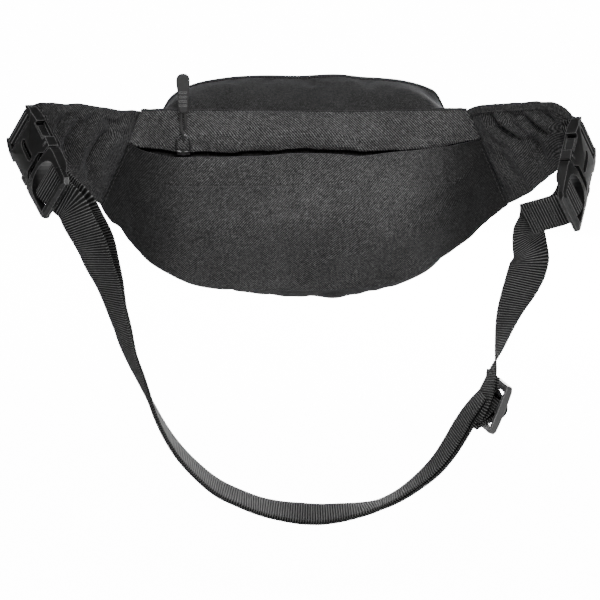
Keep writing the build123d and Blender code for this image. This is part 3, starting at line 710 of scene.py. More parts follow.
NYLON = plastic("nylon_coil", 0.014, roughness=0.35, grain=0.1, specular=0.5)
RUBBER = plastic("soft_rubber", 0.045, roughness=0.62, grain=0.5, specular=0.35, scale=2200)
SLIDER = metal("lacquered_slider", 0.10, 0.34)
NICKEL = metal("black_nickel", 0.16, 0.2)
CORD = braid("cord_braid", 0.030)


# ======================================================= rear pocket and yoke
COLUMNS = 132
POCKET_ROWS = 66
YOKE_ROWS = 34


def seam_edge(side, start, end, rows):
    """Stretch of a side seam between two points, ending exactly on them."""
    curve = smooth_curve(SEAM[side], 400)
    i, j = (np.argmin(abs(curve[:, 2] - point[2])) for point in (start, end))
    edge = resample(curve[i:j + 1], rows)
    edge[0], edge[-1] = start, end
    return edge


def panel_grid(top, bottom, rows):
    return coons(top, bottom, seam_edge("left", top[0], bottom[0], rows),
                 seam_edge("right", top[-1], bottom[-1], rows))


def hem_height(x):
    return 10.9 + 0.010 * x


# Pull creases of the rear pocket: x, z, angle in degrees, length, width, depth.
CREASES = [
    (-100, 8, 62, 26, 3.2, 0.7), (-112, -8, 50, 24, 3.0, 0.8), (104, 10, -60, 26, 3.2, 0.7),
    (114, -6, -50, 24, 3.0, 0.8), (-60, 22, 8, 30, 2.6, 0.45), (66, 24, -6, 30, 2.6, 0.45),
    (-78, -40, 38, 22, 3.0, 0.6), (84, -36, -38, 22, 3.0, 0.6), (10, 20, 3, 40, 2.4, 0.4)]


def press_pocket(grid):
    """Dips the cloth along the hem stitching and the pull creases."""
    normal = grid_normals(grid)
    rearward = np.where(normal[:, :, 1:2] > 0, -normal, normal)
    x, z = grid[:, :, 0], grid[:, :, 2]
    dip = np.exp(-((z - hem_height(x)) / 1.3) ** 2) * np.clip((104 - abs(x - 4)) / 14, 0, 1)
    grid = grid - rearward * (dip * 0.55)[:, :, None]
    for centre_x, centre_z, degrees, length, width, depth in CREASES:
        angle = math.radians(degrees)
        dx, dz = grid[:, :, 0] - centre_x, grid[:, :, 2] - centre_z
        lengthwise = dx * math.cos(angle) + dz * math.sin(angle)
        crosswise = -dx * math.sin(angle) + dz * math.cos(angle)
        dip = depth * np.exp(-(lengthwise / length) ** 2 - (crosswise / width) ** 2)
        grid = grid - rearward * dip[:, :, None]
    return grid


opening = smooth_curve(POCKET_TOP, COLUMNS)
bottom_seam = smooth_curve(BOTTOM, COLUMNS)
yoke_top = smooth_curve(YOKE_TOP, COLUMNS)

# Rear pocket panel, from the opening edge to the bottom seam.
grid = panel_grid(opening, bottom_seam, POCKET_ROWS)
u, v = fractions(grid)
grid[:, :, 1] -= 20.0 * dome(u, 3) * np.sin(PI * v ** 0.80) ** 0.80
grid[:, :, 1] -= 2.6 * dome(u, 3) * np.exp(-(v / 0.06) ** 2)    # the lip stands off
pocket = sheet("rear_pocket_cloth", grid, POCKET_TWILL)
pin = edge_mask(grid)
pin[0, 1:-1] = 0.9
pin[1, 1:-1] = 0.5
puff(pocket, pin, pressure=2.2, shrink=-0.012, cap=4.5)
set_coords(pocket, press_pocket(coords(pocket).reshape(grid.shape)))
subdivide(pocket)
ripple(pocket, height=0.35, scale=16, seed=3.1)
thicken(pocket, 1.5)
attach(pocket, "pack", "pack_fabric",
       "rear_pocket_panel", "rear_pocket_lining", "back_panel", "back_foam_pad")

# Yoke above the opening; the gap between them widens on the left.
x = opening[:, 0]
gap = (4.2 * np.clip((x + 119) / 20, 0, 1) * (0.10 + 0.90 / (1 + np.exp((x - 60) / 9.0)))
       * np.clip((121 - x) / 8, 0, 1))
yoke_bottom = opening.copy()
yoke_bottom[1:-1, 2] += gap[1:-1]
yoke_bottom[1:-1, 1] += 2.6 * np.clip(gap / 2, 0, 1)[1:-1]
grid = panel_grid(yoke_top, yoke_bottom, YOKE_ROWS)
u, v = fractions(grid)
grid[:, :, 1] -= 6.0 * dome(u, 4) * np.sin(PI * v ** 1.15) ** 0.7
yoke = sheet("rear_yoke_cloth", grid, YOKE_TWILL)
puff(yoke, edge_mask(grid), pressure=2.0, shrink=-0.015, cap=2.5)
subdivide(yoke)
ripple(yoke, height=0.4, scale=18, seed=8.2)
thicken(yoke, 1.4)
attach(yoke, "pack", "pack_fabric", "rear_yoke_panel")

# Dark pocket bag behind the opening.
bag_top, bag_bottom = opening + array([0, 7.5, 9.5]), opening + array([0, 9.0, -26])
bag_ends = [resample(array([bag_top[i], bag_bottom[i]]), 12) for i in (0, -1)]
bag = sheet("rear_pocket_bag", coons(bag_top, bag_bottom, *bag_ends)[:, 6:-6], LINING)
thicken(bag, 0.6)
attach(bag, "pack", "lining")


# ======================================================== gussets and front
ACROSS, DOWN = 96, 44    # points of a body ring along its top or bottom, and each side


def ring_from_arcs(arcs, across, down):
    """Closed loop of points: top, right, bottom and left arcs in turn."""
    return np.vstack([resample(arc, count + 1)[:-1]
                      for arc, count in zip(arcs, (across, down, across, down))])


def mirrored_loop(half, y, count):
    """Smooth closed loop at depth y from its right half, starting at the top centre."""
    outline = half + [(-x, z) for x, z in half[-2:0:-1]]
    return smooth_curve([(x, y, z) for x, z in outline], count + 1, closed=True)[:-1]


def cornered_ring(loop, upper, lower, across, down):
    """Respaces a loop so its four corners fall on fixed points."""
    corners = [(-upper[0], upper[1]), upper, lower, (-lower[0], lower[1])]
    index = [int(np.argmin(np.linalg.norm(loop[:, ::2] - array(c), axis=1)))
             for c in corners]
    arcs = [loop[a:b + 1] if b > a else np.vstack([loop[a:], loop[:b + 1]])
            for a, b in zip(index, index[1:] + index[:1])]
    return ring_from_arcs(arcs, across, down)


def section_ring(y, top=None):
    """Body ring at depth y; above z = 60 it blends into the curve top."""
    upper, lower, half = SECTIONS[y]
    loop = mirrored_loop(half, y, 1200)
    if top:
        curve = smooth_curve(top, 600)
        k = np.clip((loop[:, 2] - 60.0) / 9.0, 0, 1)
        k = k * k * (3 - 2 * k)
        loop[:, 2] += k * (np.interp(loop[:, 0], curve[:, 0], curve[:, 2]) - loop[:, 2])
    return cornered_ring(loop, upper, lower, ACROSS, DOWN)


def capped_band(name, rings, across, down, rise, powers):
    """Band of cloth lofted through rings, closed at its front by a domed face."""
    band = sheet(name + "_band", np.concatenate([rings, rings[:, :1]], 1), GUSSET_TWILL)
    weld(band, 1e-6)
    loop = rings[-1]
    a, b, c = across, across + down, 2 * across + down    # corners after the first
    face = coons(loop[:a + 1], loop[b:c + 1][::-1],
                 np.vstack([loop[c:], loop[:1]])[::-1], loop[a:b + 1])
    u, v = fractions(face)
    face[:, :, 1] += rise * dome(u, powers[0]) * dome(v, powers[1])
    ob = join(name, [band, sheet(name + "_face", face, TWILL, flip=True)])
    weld(ob)
    return ob


rear_ring = ring_from_arcs(
    [yoke_top, smooth_curve(SEAM["right"], 80), bottom_seam[::-1],
     smooth_curve(SEAM["left"], 80)[::-1]], ACROSS, DOWN)
turned_ring = rear_ring + array([0, 3.0, 0])
turned_ring[:ACROSS, 2] += 2.2
front_ring = section_ring(58.0, FRONT_SEAM_TOP)
gusset = loft([rear_ring, turned_ring, section_ring(20.0), section_ring(40.0), front_ring],
              [3, 10, 12, 12])

# Slack creases run front to back, strongest midway; the top also sags.
normal = unit(np.cross(np.roll(gusset, -1, 1) - np.roll(gusset, 1, 1),
                       np.gradient(gusset, axis=0)))
normal *= np.sign(((gusset - array([0, 35, 5])) * normal).sum(2, keepdims=True))
slack = np.sin(np.linspace(0, PI, len(gusset)))[:, None]
creases = np.array([[
    1.5 * noise.noise(Vector((x / 26, y / 60, z / 30 + 4)))
    + 0.6 * noise.noise(Vector((x / 9, y / 34, z / 11 + 9)))
    for x, y, z in row] for row in gusset]) * slack
creases[:, :ACROSS] -= 1.4 * slack * np.sin(np.linspace(0, PI, ACROSS))[None] ** 0.5
gusset = gusset + normal * creases[:, :, None]

# The gusset is split on both sides, 20 points below the upper corners.
ring_points = len(rear_ring)
right_split, left_split = ACROSS + 20, ring_points - 20
for part, columns in (
        ("top_gusset", np.r_[left_split:ring_points, 0:right_split + 1]),
        ("bottom_gusset", np.arange(right_split, left_split + 1))):
    grid = gusset[:, columns]
    ob = sheet(part + "_cloth", grid, GUSSET_TWILL)
    puff(ob, edge_mask(grid), pressure=1.2, shrink=-0.012, cap=2.5)
    subdivide(ob)
    thicken(ob, 1.2)
    attach(ob, "pack", "pack_fabric", part)

# Front panel, wrapping from the front seam over the zip bands to the front face.
front = capped_band(
    "front_panel_cloth", loft([front_ring, section_ring(70.0), section_ring(77.0)], [10, 8]),
    ACROSS, DOWN, rise=4.4, powers=(4, 3))
puff(front, np.clip((60.0 - coords(front)[:, 1]) / 2.0, 0, 1),
     pressure=1.6, shrink=-0.010, cap=3.0)
subdivide(front)
ripple(front, height=0.8, scale=30, seed=5.5,
       mask=np.clip((coords(front)[:, 1] - 60) / 6, 0, 1))
attach(front, "pack", "pack_fabric", "front_panel", "main_lining")

# Seam allowances behind the side seams.
for side in SIGN:
    ob = tube(side + "_seam_allowance", smooth_curve(SEAM[side], 60) + array([0, 2.3, 0]),
              2.2, BINDING, up=(0, -1, 0))
    attach(ob, "pack", "binding")


# ---------------------------------------------------------------- bindings
def edge_binding(name, path, radius, flat, replaced):
    count = max(30, int(arc_length(path)[-1] / 1.6))
    ob = tube(name, resample(path, count), radius, BINDING, sides=12, flat=flat,
              up=(0, -1, 0))
    attach(ob, "pack", "binding", replaced)


edge_binding("top_seam_binding", smooth_curve(YOKE_TOP, 200) + array([0, 1.2, 0.8]),
             1.35, 0.8, "top_binding")
path = smooth_curve(BOTTOM, 300) + array([0, 3.2, 0.9])
x = path[:, 0]
path[:, 2] -= 2.0 * (np.exp(-((x + 70) / 24) ** 4) + 0.8 * np.exp(-((x - 66) / 12) ** 4)
                     + 0.9 * np.exp(-((x + 135) / 3.5) ** 4))
edge_binding("bottom_seam_binding", path, 1.7, 0.75, "bottom_binding")
outward = unit(front_ring - array([0, 58, 4]))
ob = tube("front_seam_binding", front_ring + outward * 0.5, 1.5, BINDING, closed=True,
          up=(0, 1, 0))
attach(ob, "pack", "binding")


# ------------------------------------------------------------------- zips
TOOTH_PITCH = 1.25
TOOTH_HALF = 1.55
TOOTH_STATIONS = [    # fraction of the half width, height, thickness
    (-1, 0.0, 0.30), (-0.85, 0.55, 0.42), (-0.4, 0.85, 0.48), (0.0, 0.92, 0.5),
    (0.4, 0.85, 0.48), (0.85, 0.55, 0.42), (1, 0.0, 0.30)]


def zip_run(prefix, path, out, half_width, tapes):
    """Two woven tapes and a nylon coil with real teeth along path; out points outwards."""
    path = resample(path, 160)
    out = array(out)
    tangent = tangents(path)
    across = unit(np.cross(tangent, out))
    for sign, letter, tape in ((1, "a", tapes[0]), (-1, "b", tapes[1])):
        grid = np.array([path + across * sign * w - out * (0.05 * (w - 0.5))
                         for w in np.linspace(0.5, half_width, 7)])
        ob = sheet(f"{prefix}_tape_{letter}", grid, ZIP_TAPE, flip=sign > 0)
        thicken(ob, 0.5)
        attach(ob, "pack", "zip_tape", f"{prefix}_tape_{tape}")
    length = arc_length(path)[-1]
    count = int(length / TOOTH_PITCH)
    verts, faces = [], []
    for i in range(count):
        s = (i + 0.5) * length / count
        centre = along(path, s)
        j = min(int(s / length * (len(path) - 1)), len(path) - 1)
        shift = 0.25 if i % 2 else -0.25
        faces += tube_faces(len(TOOTH_STATIONS), 6, first=len(verts))
        for fraction, height, thickness in TOOTH_STATIONS:
            verts += [centre + across[j] * (TOOTH_HALF * fraction + shift)
                      + out * (height + 0.405 * math.cos(f))
                      + tangent[j] * math.sin(f) * thickness for f in BEAD_ANGLES]
    coil = mesh_object(prefix + "_coil_teeth", verts, faces, NYLON)
    attach(coil, "pack", "zip_coil", prefix + "_coil")


def crown_height(half, x, lowest):
    """Height over x of the upper part, above lowest, of a half outline."""
    points = array([p for p in half if p[1] > lowest])
    return np.interp(abs(x), points[:, 0], points[:, 1])


x = np.linspace(-108, 108, 60)
edge = smooth_curve(POCKET_TOP, 400)
zip_run("rear_zip", np.stack([x, np.interp(x, edge[:, 0], edge[:, 1]) + 5.6,
                              np.interp(x, edge[:, 0], edge[:, 2]) - 1.9], 1),
        (0, -1, 0), 8.5, ("upper", "lower"))

MAIN_ZIP_Y = 74.0
x = np.linspace(-74, 74, 80)
slope_normal = unit((0, 0.77, 0.64))
z_rear, z_front = (crown_height(SECTIONS[y][2], x, 30) for y in (70.0, 77.0))
z = z_rear + (z_front - z_rear) * (MAIN_ZIP_Y - 70.0) / (77.0 - 70.0)
zip_run("main_zip", np.stack([x, np.full(80, MAIN_ZIP_Y), z], 1) + slope_normal * 2.4,
        slope_normal, 5.0, ("rear", "front"))


# ------------------------------------------------------------ front pocket
def pocket_ring(y, inset):
    """Front pocket outline at depth y, moved inwards by inset."""
    loop = mirrored_loop(POCKET_HALF, y, 280)
    step = np.roll(loop, -1, 0) - np.roll(loop, 1, 0)
    inward = unit(np.stack([step[:, 2], np.zeros(len(loop)), -step[:, 0]], 1))
    return cornered_ring(loop + inward * inset, *POCKET_CORNERS, 72, 30)


rings = [pocket_ring(y, inset)
         for y, inset in ((79.5, -0.8), (84.0, -0.2), (88.5, 0.6), (91.0, 2.2))]
front_pocket = capped_band("front_pocket_cloth", loft(rings, [5, 5, 4]), 72, 30,
                           rise=3.0, powers=(3, 2.5))
puff(front_pocket, np.clip((81.5 - coords(front_pocket)[:, 1]) / 1.5, 0, 1),
     pressure=1.6, shrink=-0.012, cap=2.2)
subdivide(front_pocket)
ripple(front_pocket, height=0.6, scale=24, seed=7.5,
       mask=np.clip((coords(front_pocket)[:, 1] - 82) / 6, 0, 1))
attach(front_pocket, "pack", "pack_fabric", "front_pocket_panel", "front_pocket_gusset")

x = np.linspace(-58, 58, 60)
zip_run("front_zip",
        np.stack([x, np.full(60, 86.0), crown_height(POCKET_HALF, x, 20) + 1.0], 1),
        (0, 0, 1), 3.4, ("lower", "upper"))
ob = tube("front_pocket_piping", pocket_ring(91.3, 1.9), 1.2, BINDING, closed=True,
          up=(0, 1, 0))
attach(ob, "pack", "binding")


# =================================================================== wings
WING_COLUMNS, WING_ROWS = 64, 58
WING_SPLIT = 156.0    # |x| where the outer part of a wing begins
# (start, end) of the blend zones in metres on the right side; X is mirrored on the left.
INNER_BLEND = (0.127, 0.008, 0.03), (0.153, -0.014, 0.04)
OUTER_BLEND = (0.158, -0.018, 0.045), (0.176, -0.030, 0.05)


def press_folds(grid, normal, folds, strength):
    """Presses each fold into the grid, with a soft ridge beside it."""
    for points, width, depth in folds:
        curve = smooth_curve([(x, 0, z) for x, z in points], 60)
        gaps = grid[:, :, None, ::2] - curve[:, ::2]
        distances = np.sqrt((gaps ** 2).sum(-1))
        distance = distances.min(-1)
        fade = depth * np.sin(PI * distances.argmin(-1) / 59) ** 0.6
        dip = (fade * np.exp(-(distance / width) ** 2)
               - 0.45 * fade * np.exp(-((distance - 2.1 * width) / width) ** 2))
        grid = grid - normal * (dip * strength)[:, :, None]
    return grid


def wing(side, top, bottom, folds, strength, seed):
    """Padded wing; returns its cloth and the middle, wearer-side and outer-side grids."""
    top = smooth_curve(top, WING_COLUMNS)
    bottom = smooth_curve(bottom, WING_COLUMNS)
    root = resample(smooth_curve(SEAM[side], WING_ROWS), WING_ROWS)
    root[0], root[-1] = top[0], bottom[0]
    tip = np.array([top[-1] * (1 - k) + bottom[-1] * k
                    for k in np.linspace(0, 1, WING_ROWS)])
    middle = coons(top, bottom, root, tip)
    normal = grid_normals(middle)
    if normal[:, :, 1].mean() > 0:    # make it point to the wearer
        normal = -normal
    u, v = fractions(middle)
    padding = 5.2 * (np.sin(PI * v) ** 0.55 * np.clip(u / 0.12, 0, 1) ** 0.5
                     * (1 - 0.35 * u) * np.clip((1 - u) / 0.10, 0, 1) ** 0.5)
    edge = edge_mask(middle) > 0
    # Both faces meet on the edges of the middle grid.
    faces = [
        np.where(edge[:, :, None], middle,
                 press_folds(middle + normal * (sign * padding)[:, :, None], normal,
                             folds, press))
        for sign, press in ((1, strength), (-1, -0.7))]
    cloth = join(side + "_wing_cloth", [
        sheet(side + "_wing_wearer_side", faces[0], WING_TWILL, flip=side == "left"),
        sheet(side + "_wing_outer_side", faces[1], WING_TWILL, flip=side == "right")])
    weld(cloth)
    bm = bmesh.new()
    bm.from_mesh(cloth.data)
    bmesh.ops.recalc_face_normals(bm, faces=bm.faces)
    bm.to_mesh(cloth.data)
    bm.free()
    border = middle[edge]
    gap = np.array([np.sqrt(((border - p) ** 2).sum(1)).min() for p in coords(cloth)])
    puff(cloth, (gap < 0.3).astype(float), pressure=1.4, shrink=-0.03, cap=2.6, stiffness=9)
    subdivide(cloth)
    ripple(cloth, height=0.5, scale=9, seed=seed)
    return cloth, middle, *faces


def wing_binding(side, cloth, middle, wearer_side, outer_side):
    """Folded tape over the top edge of a wing, laid on the finished cloth."""
    depths = [5.4, 4.2, 3.0, 1.8, 0.8]

    def row(face, depth):
        return np.array([along(face[:, j], depth) for j in range(face.shape[1])])

    rows = [row(wearer_side, depth) for depth in depths]
    rows.append(middle[0] + array([0, 0, 0.5]))
    rows += [row(outer_side, depth) for depth in depths[::-1]]
    ob = sheet(side + "_wing_binding_tape", np.array(rows), BINDING)
    bake(ob, SUBDIVISION,
         ("SHRINKWRAP", dict(target=cloth, wrap_method="NEAREST_SURFACEPOINT",
                             wrap_mode="OUTSIDE_SURFACE", offset=0.0006)),
         ("SOLIDIFY", dict(thickness=0.0005, offset=0)))
    return ob


def split_off_outer(ob):
    """Cuts a wing piece at WING_SPLIT; both parts keep the shading of the whole."""
    def key(point):
        return tuple(np.round(point, 4))

    shading = {key(p): n for p, n in zip(coords(ob), vertex_values(ob, "normal"))}
    outer = ob.copy()
    outer.data = ob.data.copy()
    outer.name = outer.data.name = ob.name + "_outer"
    scene.collection.objects.link(outer)
    for part in (ob, outer):
        bm = bmesh.new()
        bm.from_mesh(part.data)
        unwanted = [
            f for f in bm.faces
            if (abs(f.calc_center_median().x) / MM > WING_SPLIT) != (part is outer)]
        bmesh.ops.delete(bm, geom=unwanted, context="FACES")
        bm.to_mesh(part.data)
        bm.free()
        normals = [tuple(shading.get(key(p), (0, -1, 0))) for p in coords(part)]
        part.data.normals_split_custom_set_from_vertices(normals)
    return outer


def blend_wing(ob, side, bodies, zone):
    start, end = ((SIGN[side] * x, y, z) for x, y, z in zone)
    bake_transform(ob)
    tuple(start)
    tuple(end)


def attach_wing_parts(side, inner, outer):
    for part in (inner, outer):
        "pack_fabric" if "cloth" in part.name else "binding"
    blend_wing(inner, side, ("pack", "belt"), INNER_BLEND)
    blend_wing(outer, side, ("belt", side + "_socket"), OUTER_BLEND)


wings = {side: wing(side, **shape) for side, shape in WINGS.items()}
wing_tapes = {side: wing_binding(side, *parts) for side, parts in wings.items()}
outer_tapes = {side: split_off_outer(tape) for side, tape in wing_tapes.items()}
outer_cloths = {side: split_off_outer(parts[0]) for side, parts in wings.items()}
for side in SIGN:
    cloth = wings[side][0]
    attach_wing_parts(side, cloth, outer_cloths[side])
    attach_wing_parts(side, wing_tapes[side], outer_tapes[side])
    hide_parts(side + "_wing_inner_panel", side + "_wing_foam")
    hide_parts(side + "_wing_outer_panel")
    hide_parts(side + "_wing_binding")


# ---------------------------------------------------------------- stitching
def project(path, ob):
    """Drops a path onto the wearer side of a mesh along +Y; returns points and normals."""
    target = ob.evaluated_get(bpy.context.evaluated_depsgraph_get())
    points, normals = [], []
    for x, _, z in path:
        hit, point, normal, _ = target.ray_cast(
            Vector((x * MM, -0.2, z * MM)), Vector((0, 1, 0)), distance=0.4)
        if hit:
            points.append(np.array(point) / MM)
            normals.append(np.array(-normal if normal.y > 0 else normal))
    return np.array(points), np.array(normals)


def sew(path, cloth, thread=LIGHT_THREAD, *, length=2.4, gap=0.8, radius=0.25):
    """List with one run of stitches on the cloth, empty where too little of it is hit."""
    points, normals = project(path, cloth)
    if len(points) <= 4:
        return []
    return [stitches("stitch_run", points, normals, thread, length=length, gap=gap,
                     radius=radius)]


bpy.context.view_layer.update()
x = np.linspace(-97, 106, 160)
runs = sew(np.stack([x, np.zeros(160), hem_height(x)], 1), pocket,
           length=2.6, gap=0.9, radius=0.26)
for side, sign in SIGN.items():
    line = smooth_curve(SEAM[side], 160) - array([sign * 1.8, 0, 0])
    runs += sew(line[line[:, 2] > 42], yoke)
    runs += sew(line[line[:, 2] < 36], pocket)
attach(join("pack_stitching", runs), "pack", "binding")

for side, sign in SIGN.items():
    cloth, middle = wings[side][:2]
    runs = []
    for offset in (2.2, 5.4):
        runs += sew(smooth_curve(SEAM[side], 160) + array([sign * offset, 0, 0.6 * offset]),
                    cloth)
    edge = middle[0][abs(middle[0][:, 0]) < 154] + array([0, 0, -4.3])
    runs += sew(resample(edge[3:], 90), wing_tapes[side], THREAD, length=2.2, radius=0.22)
    ob = join(side + "_wing_stitching", runs)
    blend_wing(ob, side, ("pack", "belt"), INNER_BLEND)


# ================================================================= webbing
# A frame is (origin, x axis, y axis, z axis).
def buckle_frame(origin, along_y, across_x):
    y = unit(along_y)
    x = perpendicular(across_x, y)
    return array(origin), x, y, np.cross(x, y)


def local(frame, x, y, z):
    origin, axis_x, axis_y, axis_z = frame
    return origin + axis_x * x + axis_y * y + axis_z * z


def profile_points(frame, x, profile):
    return np.array([local(frame, x, y, z) for y, z in profile])


LEFT_FRAME = buckle_frame((-191.1, -35.0, 52.8), (0.43, -0.55, -0.717), (-0.45, 0.55, -0.70))
RIGHT_FRAME = buckle_frame((189.3, -35.0, 45.2), (-0.244, -0.632, -0.735),
                           (-0.378, -0.632, 0.677))
DEPTH = unit((0, 0.990, -0.139))    # width direction of an untwisted strap


def twisted(tangent, degrees):
    """Width direction of a strap turned by degrees from DEPTH about its tangent."""
    edge = unit(np.cross(DEPTH, tangent))
    flat = unit(np.cross(tangent, edge))
    turn = np.expand_dims(np.radians(degrees), -1)
    return np.cos(turn) * flat + np.sin(turn) * edge


def smoothed(values, passes):
    """Moving average over nine rows."""
    kernel = np.ones(9) / 9
    for _ in range(passes):
        padded = np.pad(values, ((4, 4), (0, 0)), mode="edge")
        values = np.stack([np.convolve(c, kernel, "valid") for c in padded.T], 1)
    return values


WEB_HALF = 15.0
RIB_STEPS = 6    # mesh rows per rib
face_x = [-WEB_HALF + 0.35, -WEB_HALF + 1.2, *(WEB_HALF * k for k in (
    -0.72, -0.4, -0.13, 0.13, 0.4, 0.72)), WEB_HALF - 1.2, WEB_HALF - 0.35]
# Section of the webbing: x, height as a share of the half thickness.
WEB_SECTION = ([(x, 1) for x in face_x] + [(WEB_HALF, 0.45), (WEB_HALF, -0.45)]
               + [(x, -1) for x in face_x[::-1]] + [(-WEB_HALF, -0.45), (-WEB_HALF, 0.45)])


def strap(name, path, widths, *, thickness=1.5, rib=0.24):
    """Webbing with modelled ribs; widths gives its width direction per path point."""
    length = arc_length(path)[-1]
    rows = int(length / (WEB_PITCH / RIB_STEPS))
    s = np.linspace(0, length, rows)
    centre = resample(smooth_curve(path, max(400, len(path) * 12)), rows)
    tangent = unit(smoothed(np.gradient(centre, axis=0), 2))
    width = perpendicular(smoothed(along(path, s, widths), 3), tangent)
    normal = np.cross(width, tangent)
    wave = np.cos(2 * PI * s / WEB_PITCH)
    verts, uvs = [], []
    for x, share in WEB_SECTION:
        at_edge = abs(x) >= WEB_HALF - 0.5
        rounding = 0.12 if at_edge and abs(share) == 1 else 0
        height = share * (thickness / 2 - rounding + (0.4 if at_edge else 1) * rib * wave)
        shift = x + (0.12 * np.sign(x) if at_edge else 0) * wave
        verts.append(centre + width * shift[:, None] + normal * height[:, None])
        uvs.append(np.stack([np.full(rows, x), s], 1) * UV_PER_MM)
    faces = [face[::-1] for face in tube_faces(rows, len(WEB_SECTION))]
    return mesh_object(name, np.stack(verts, 1), faces, WEBBING, np.stack(uvs, 1))


# Left belt webbing: two layers joined by a loop in the left buckle.
# Upper stations: point, width direction, distance between the layers.
LEFT_UPPER = [
    ((-149.6, -71.5, -9.0), (-0.706, 0.613, -0.356), 8.4),
    ((-142.0, -69.0, -24.6), (-0.667, 0.662, -0.343), 8.2),
    ((-137.6, -66.0, -37.6), (-0.61, 0.729, -0.31), 6.4),
    ((-132.4, -62.5, -50.8), (-0.553, 0.79, -0.263), 3.6),
    ((-128.0, -60.0, -66.6), (-0.44, 0.868, -0.23), 2.1),
    ((-123.8, -57.8, -81.4), (-0.39, 0.898, -0.203), 1.75)]
# Lower stations: x, y, z, twist in degrees.
LEFT_LOWER = array([
    (-119.8, -55, -98.0, 18), (-114.6, -52, -112.1, 14), (-109.1, -49, -126.4, 8),
    (-103.5, -47, -140.4, 1), (-96.8, -45, -154.6, -3), (-88.0, -43.5, -168.8, -7),
    (-75.8, -42, -183.0, -10), (-58.7, -41, -197.3, -13), (-45.6, -41, -203.7, -14),
    (-30.4, -40, -209.9, -15), (-16.6, -40, -213.1, -17), (-2.8, -40, -214.9, -20),
    (11.0, -40, -215.6, -19), (24.9, -40, -214.5, -16), (38.7, -40, -212.4, -10),
    (52.5, -39, -209.1, -4), (66.3, -39, -202.7, -5), (80.1, -38, -193.1, -8),
    (93.8, -38, -180.0, -12), (102.0, -38, -168.5, -14), (109.4, -38, -156.0, -15),
    (115.5, -38.5, -146.0, -13), (120.9, -39.0, -137.5, -11), (124.6, -39.0, -131.8, -8)])
# Webbing profiles in a buckle frame: y, z.
LEFT_LOOP = [
    (63, -9.2), (57, -6.6), (52, -4.5), (48, -3.3), (45.75, -2.3), (44.7, 0), (45.75, 2.3),
    (48, 3.3), (51, 3.1), (56, 1.0), (60.5, -1.3), (65, -3.0)]
RIGHT_FOLD = [
    (66.9, -27.5), (64.2, -18.2), (61.8, -10.3), (60.3, -6.8), (57, -4.7), (52.5, -3.75),
    (48, -3.3), (45.75, -2.3), (44.7, 0), (45.75, 2.3), (48, 3.3), (51, 3.1), (56, 0.7),
    (60.3, -2.2), (62.0, -5.4), (63.4, -9.8), (66.0, -18.7), (68.6, -27.0)]

upper_points, upper_widths, upper_gaps = zip(*LEFT_UPPER)
outer_layer = np.vstack([local(LEFT_FRAME, -1.4, 70.0, -5.4), upper_points,
                         LEFT_LOWER[:, :3]])
tangent = tangents(outer_layer)
widths = np.vstack([
    unit(0.3 * LEFT_FRAME[1] + 0.7 * array(upper_widths[0])), upper_widths,
    twisted(tangent[1 + len(LEFT_UPPER):], LEFT_LOWER[:, 3])])
layer_gaps = array([7.2, *upper_gaps, *np.interp(
    np.arange(len(LEFT_LOWER)), [0, 4, 15, 18, 21, 23], [1.7, 1.75, 2.0, 3.2, 3.6, 2.4])])
layer_normal = np.cross(perpendicular(widths, tangent), tangent)
inner_layer = outer_layer - layer_normal * layer_gaps[:, None]
inner_layer[0] = local(LEFT_FRAME, -1.4, 70, -12.4)
loop_widths = np.tile(LEFT_FRAME[1], (len(LEFT_LOOP), 1))
for i, share in ((-3, 0.12), (-2, 0.3), (-1, 0.5)):    # turn towards the outer layer
    loop_widths[i] = unit((1 - share) * LEFT_FRAME[1] + share * widths[0])
ob = strap(
    "belt_webbing_left_run",
    np.vstack([inner_layer[::-1], profile_points(LEFT_FRAME, -1.3, LEFT_LOOP), outer_layer]),
    np.vstack([widths[::-1], loop_widths, widths]))
attach(ob, "belt", "webbing", "belt_webbing_left")

# Right belt webbing: a fold through the right buckle and a band sewn to its end.
fold = strap("belt_webbing_right_fold", profile_points(RIGHT_FRAME, 0, RIGHT_FOLD),
             np.tile(RIGHT_FRAME[1], (len(RIGHT_FOLD), 1)))
_, _, right_y, right_z = RIGHT_FRAME
tab_tangent = unit(0.2785 * right_y - 0.959 * right_z)
tab_normal = unit(0.959 * right_y + 0.2785 * right_z)
tab_up = unit(np.cross(tab_normal, (1, 0, 0)))
join_point = local(RIGHT_FRAME, 0, *RIGHT_FOLD[0]) - tab_tangent * 11.0 - tab_normal * 1.75
# Band stations: x, y, z, twist in degrees.
RIGHT_BAND = array([
    (116.0, -43.0, -146.5, -16), (120.6, -42.0, -138.0, -16), (124.6, -40.0, -129.5, -14),
    (127.6, -38.0, -121.0, -9), (130.0, -36.0, -112.8, -2), (133.6, -34.0, -100.6, 14),
    (137.3, -32.5, -87.0, 27), (141.6, -33.0, -73.3, 40), (147.0, -35.0, -60.0, 54),
    (151.4, -37.0, -48.0, 64), (153.6, -39.0, -38.6, 66), (153.6, -42.0, -30.5, 56),
    (152.0, -47.0, -21.5, 47), (154.4, -54.5, -13.5, 56)])
path = np.vstack([RIGHT_BAND[:, :3], join_point - tab_up * 4.0, join_point + tab_up * 6.0])
widths = np.vstack([twisted(tangents(path)[:-1], [*RIGHT_BAND[:, 3], 76]),
                    unit(np.cross(tab_up, tab_normal))])
ob = join("belt_webbing_right_run", [fold, strap("belt_webbing_right_band", path, widths)])
attach(ob, "belt", "webbing", "belt_webbing_right")

# Bar tacks across the sewn end, by distance back from it.
tacks = []
for distance in (3.0, 5.2, 17.5, 19.5):
    ends = array([local(RIGHT_FRAME, x, *RIGHT_FOLD[-1]) for x in (-13.5, 13.5)])
    path = resample(ends - tab_tangent * distance + tab_normal * 0.9, 30)
    tacks.append(stitches("tack", path, np.tile(tab_normal, (30, 1)), THREAD,
                          length=2.2, gap=0.6, radius=0.3, lift=0.1))
attach(join("belt_bar_tacks", tacks), "belt", "webbing")

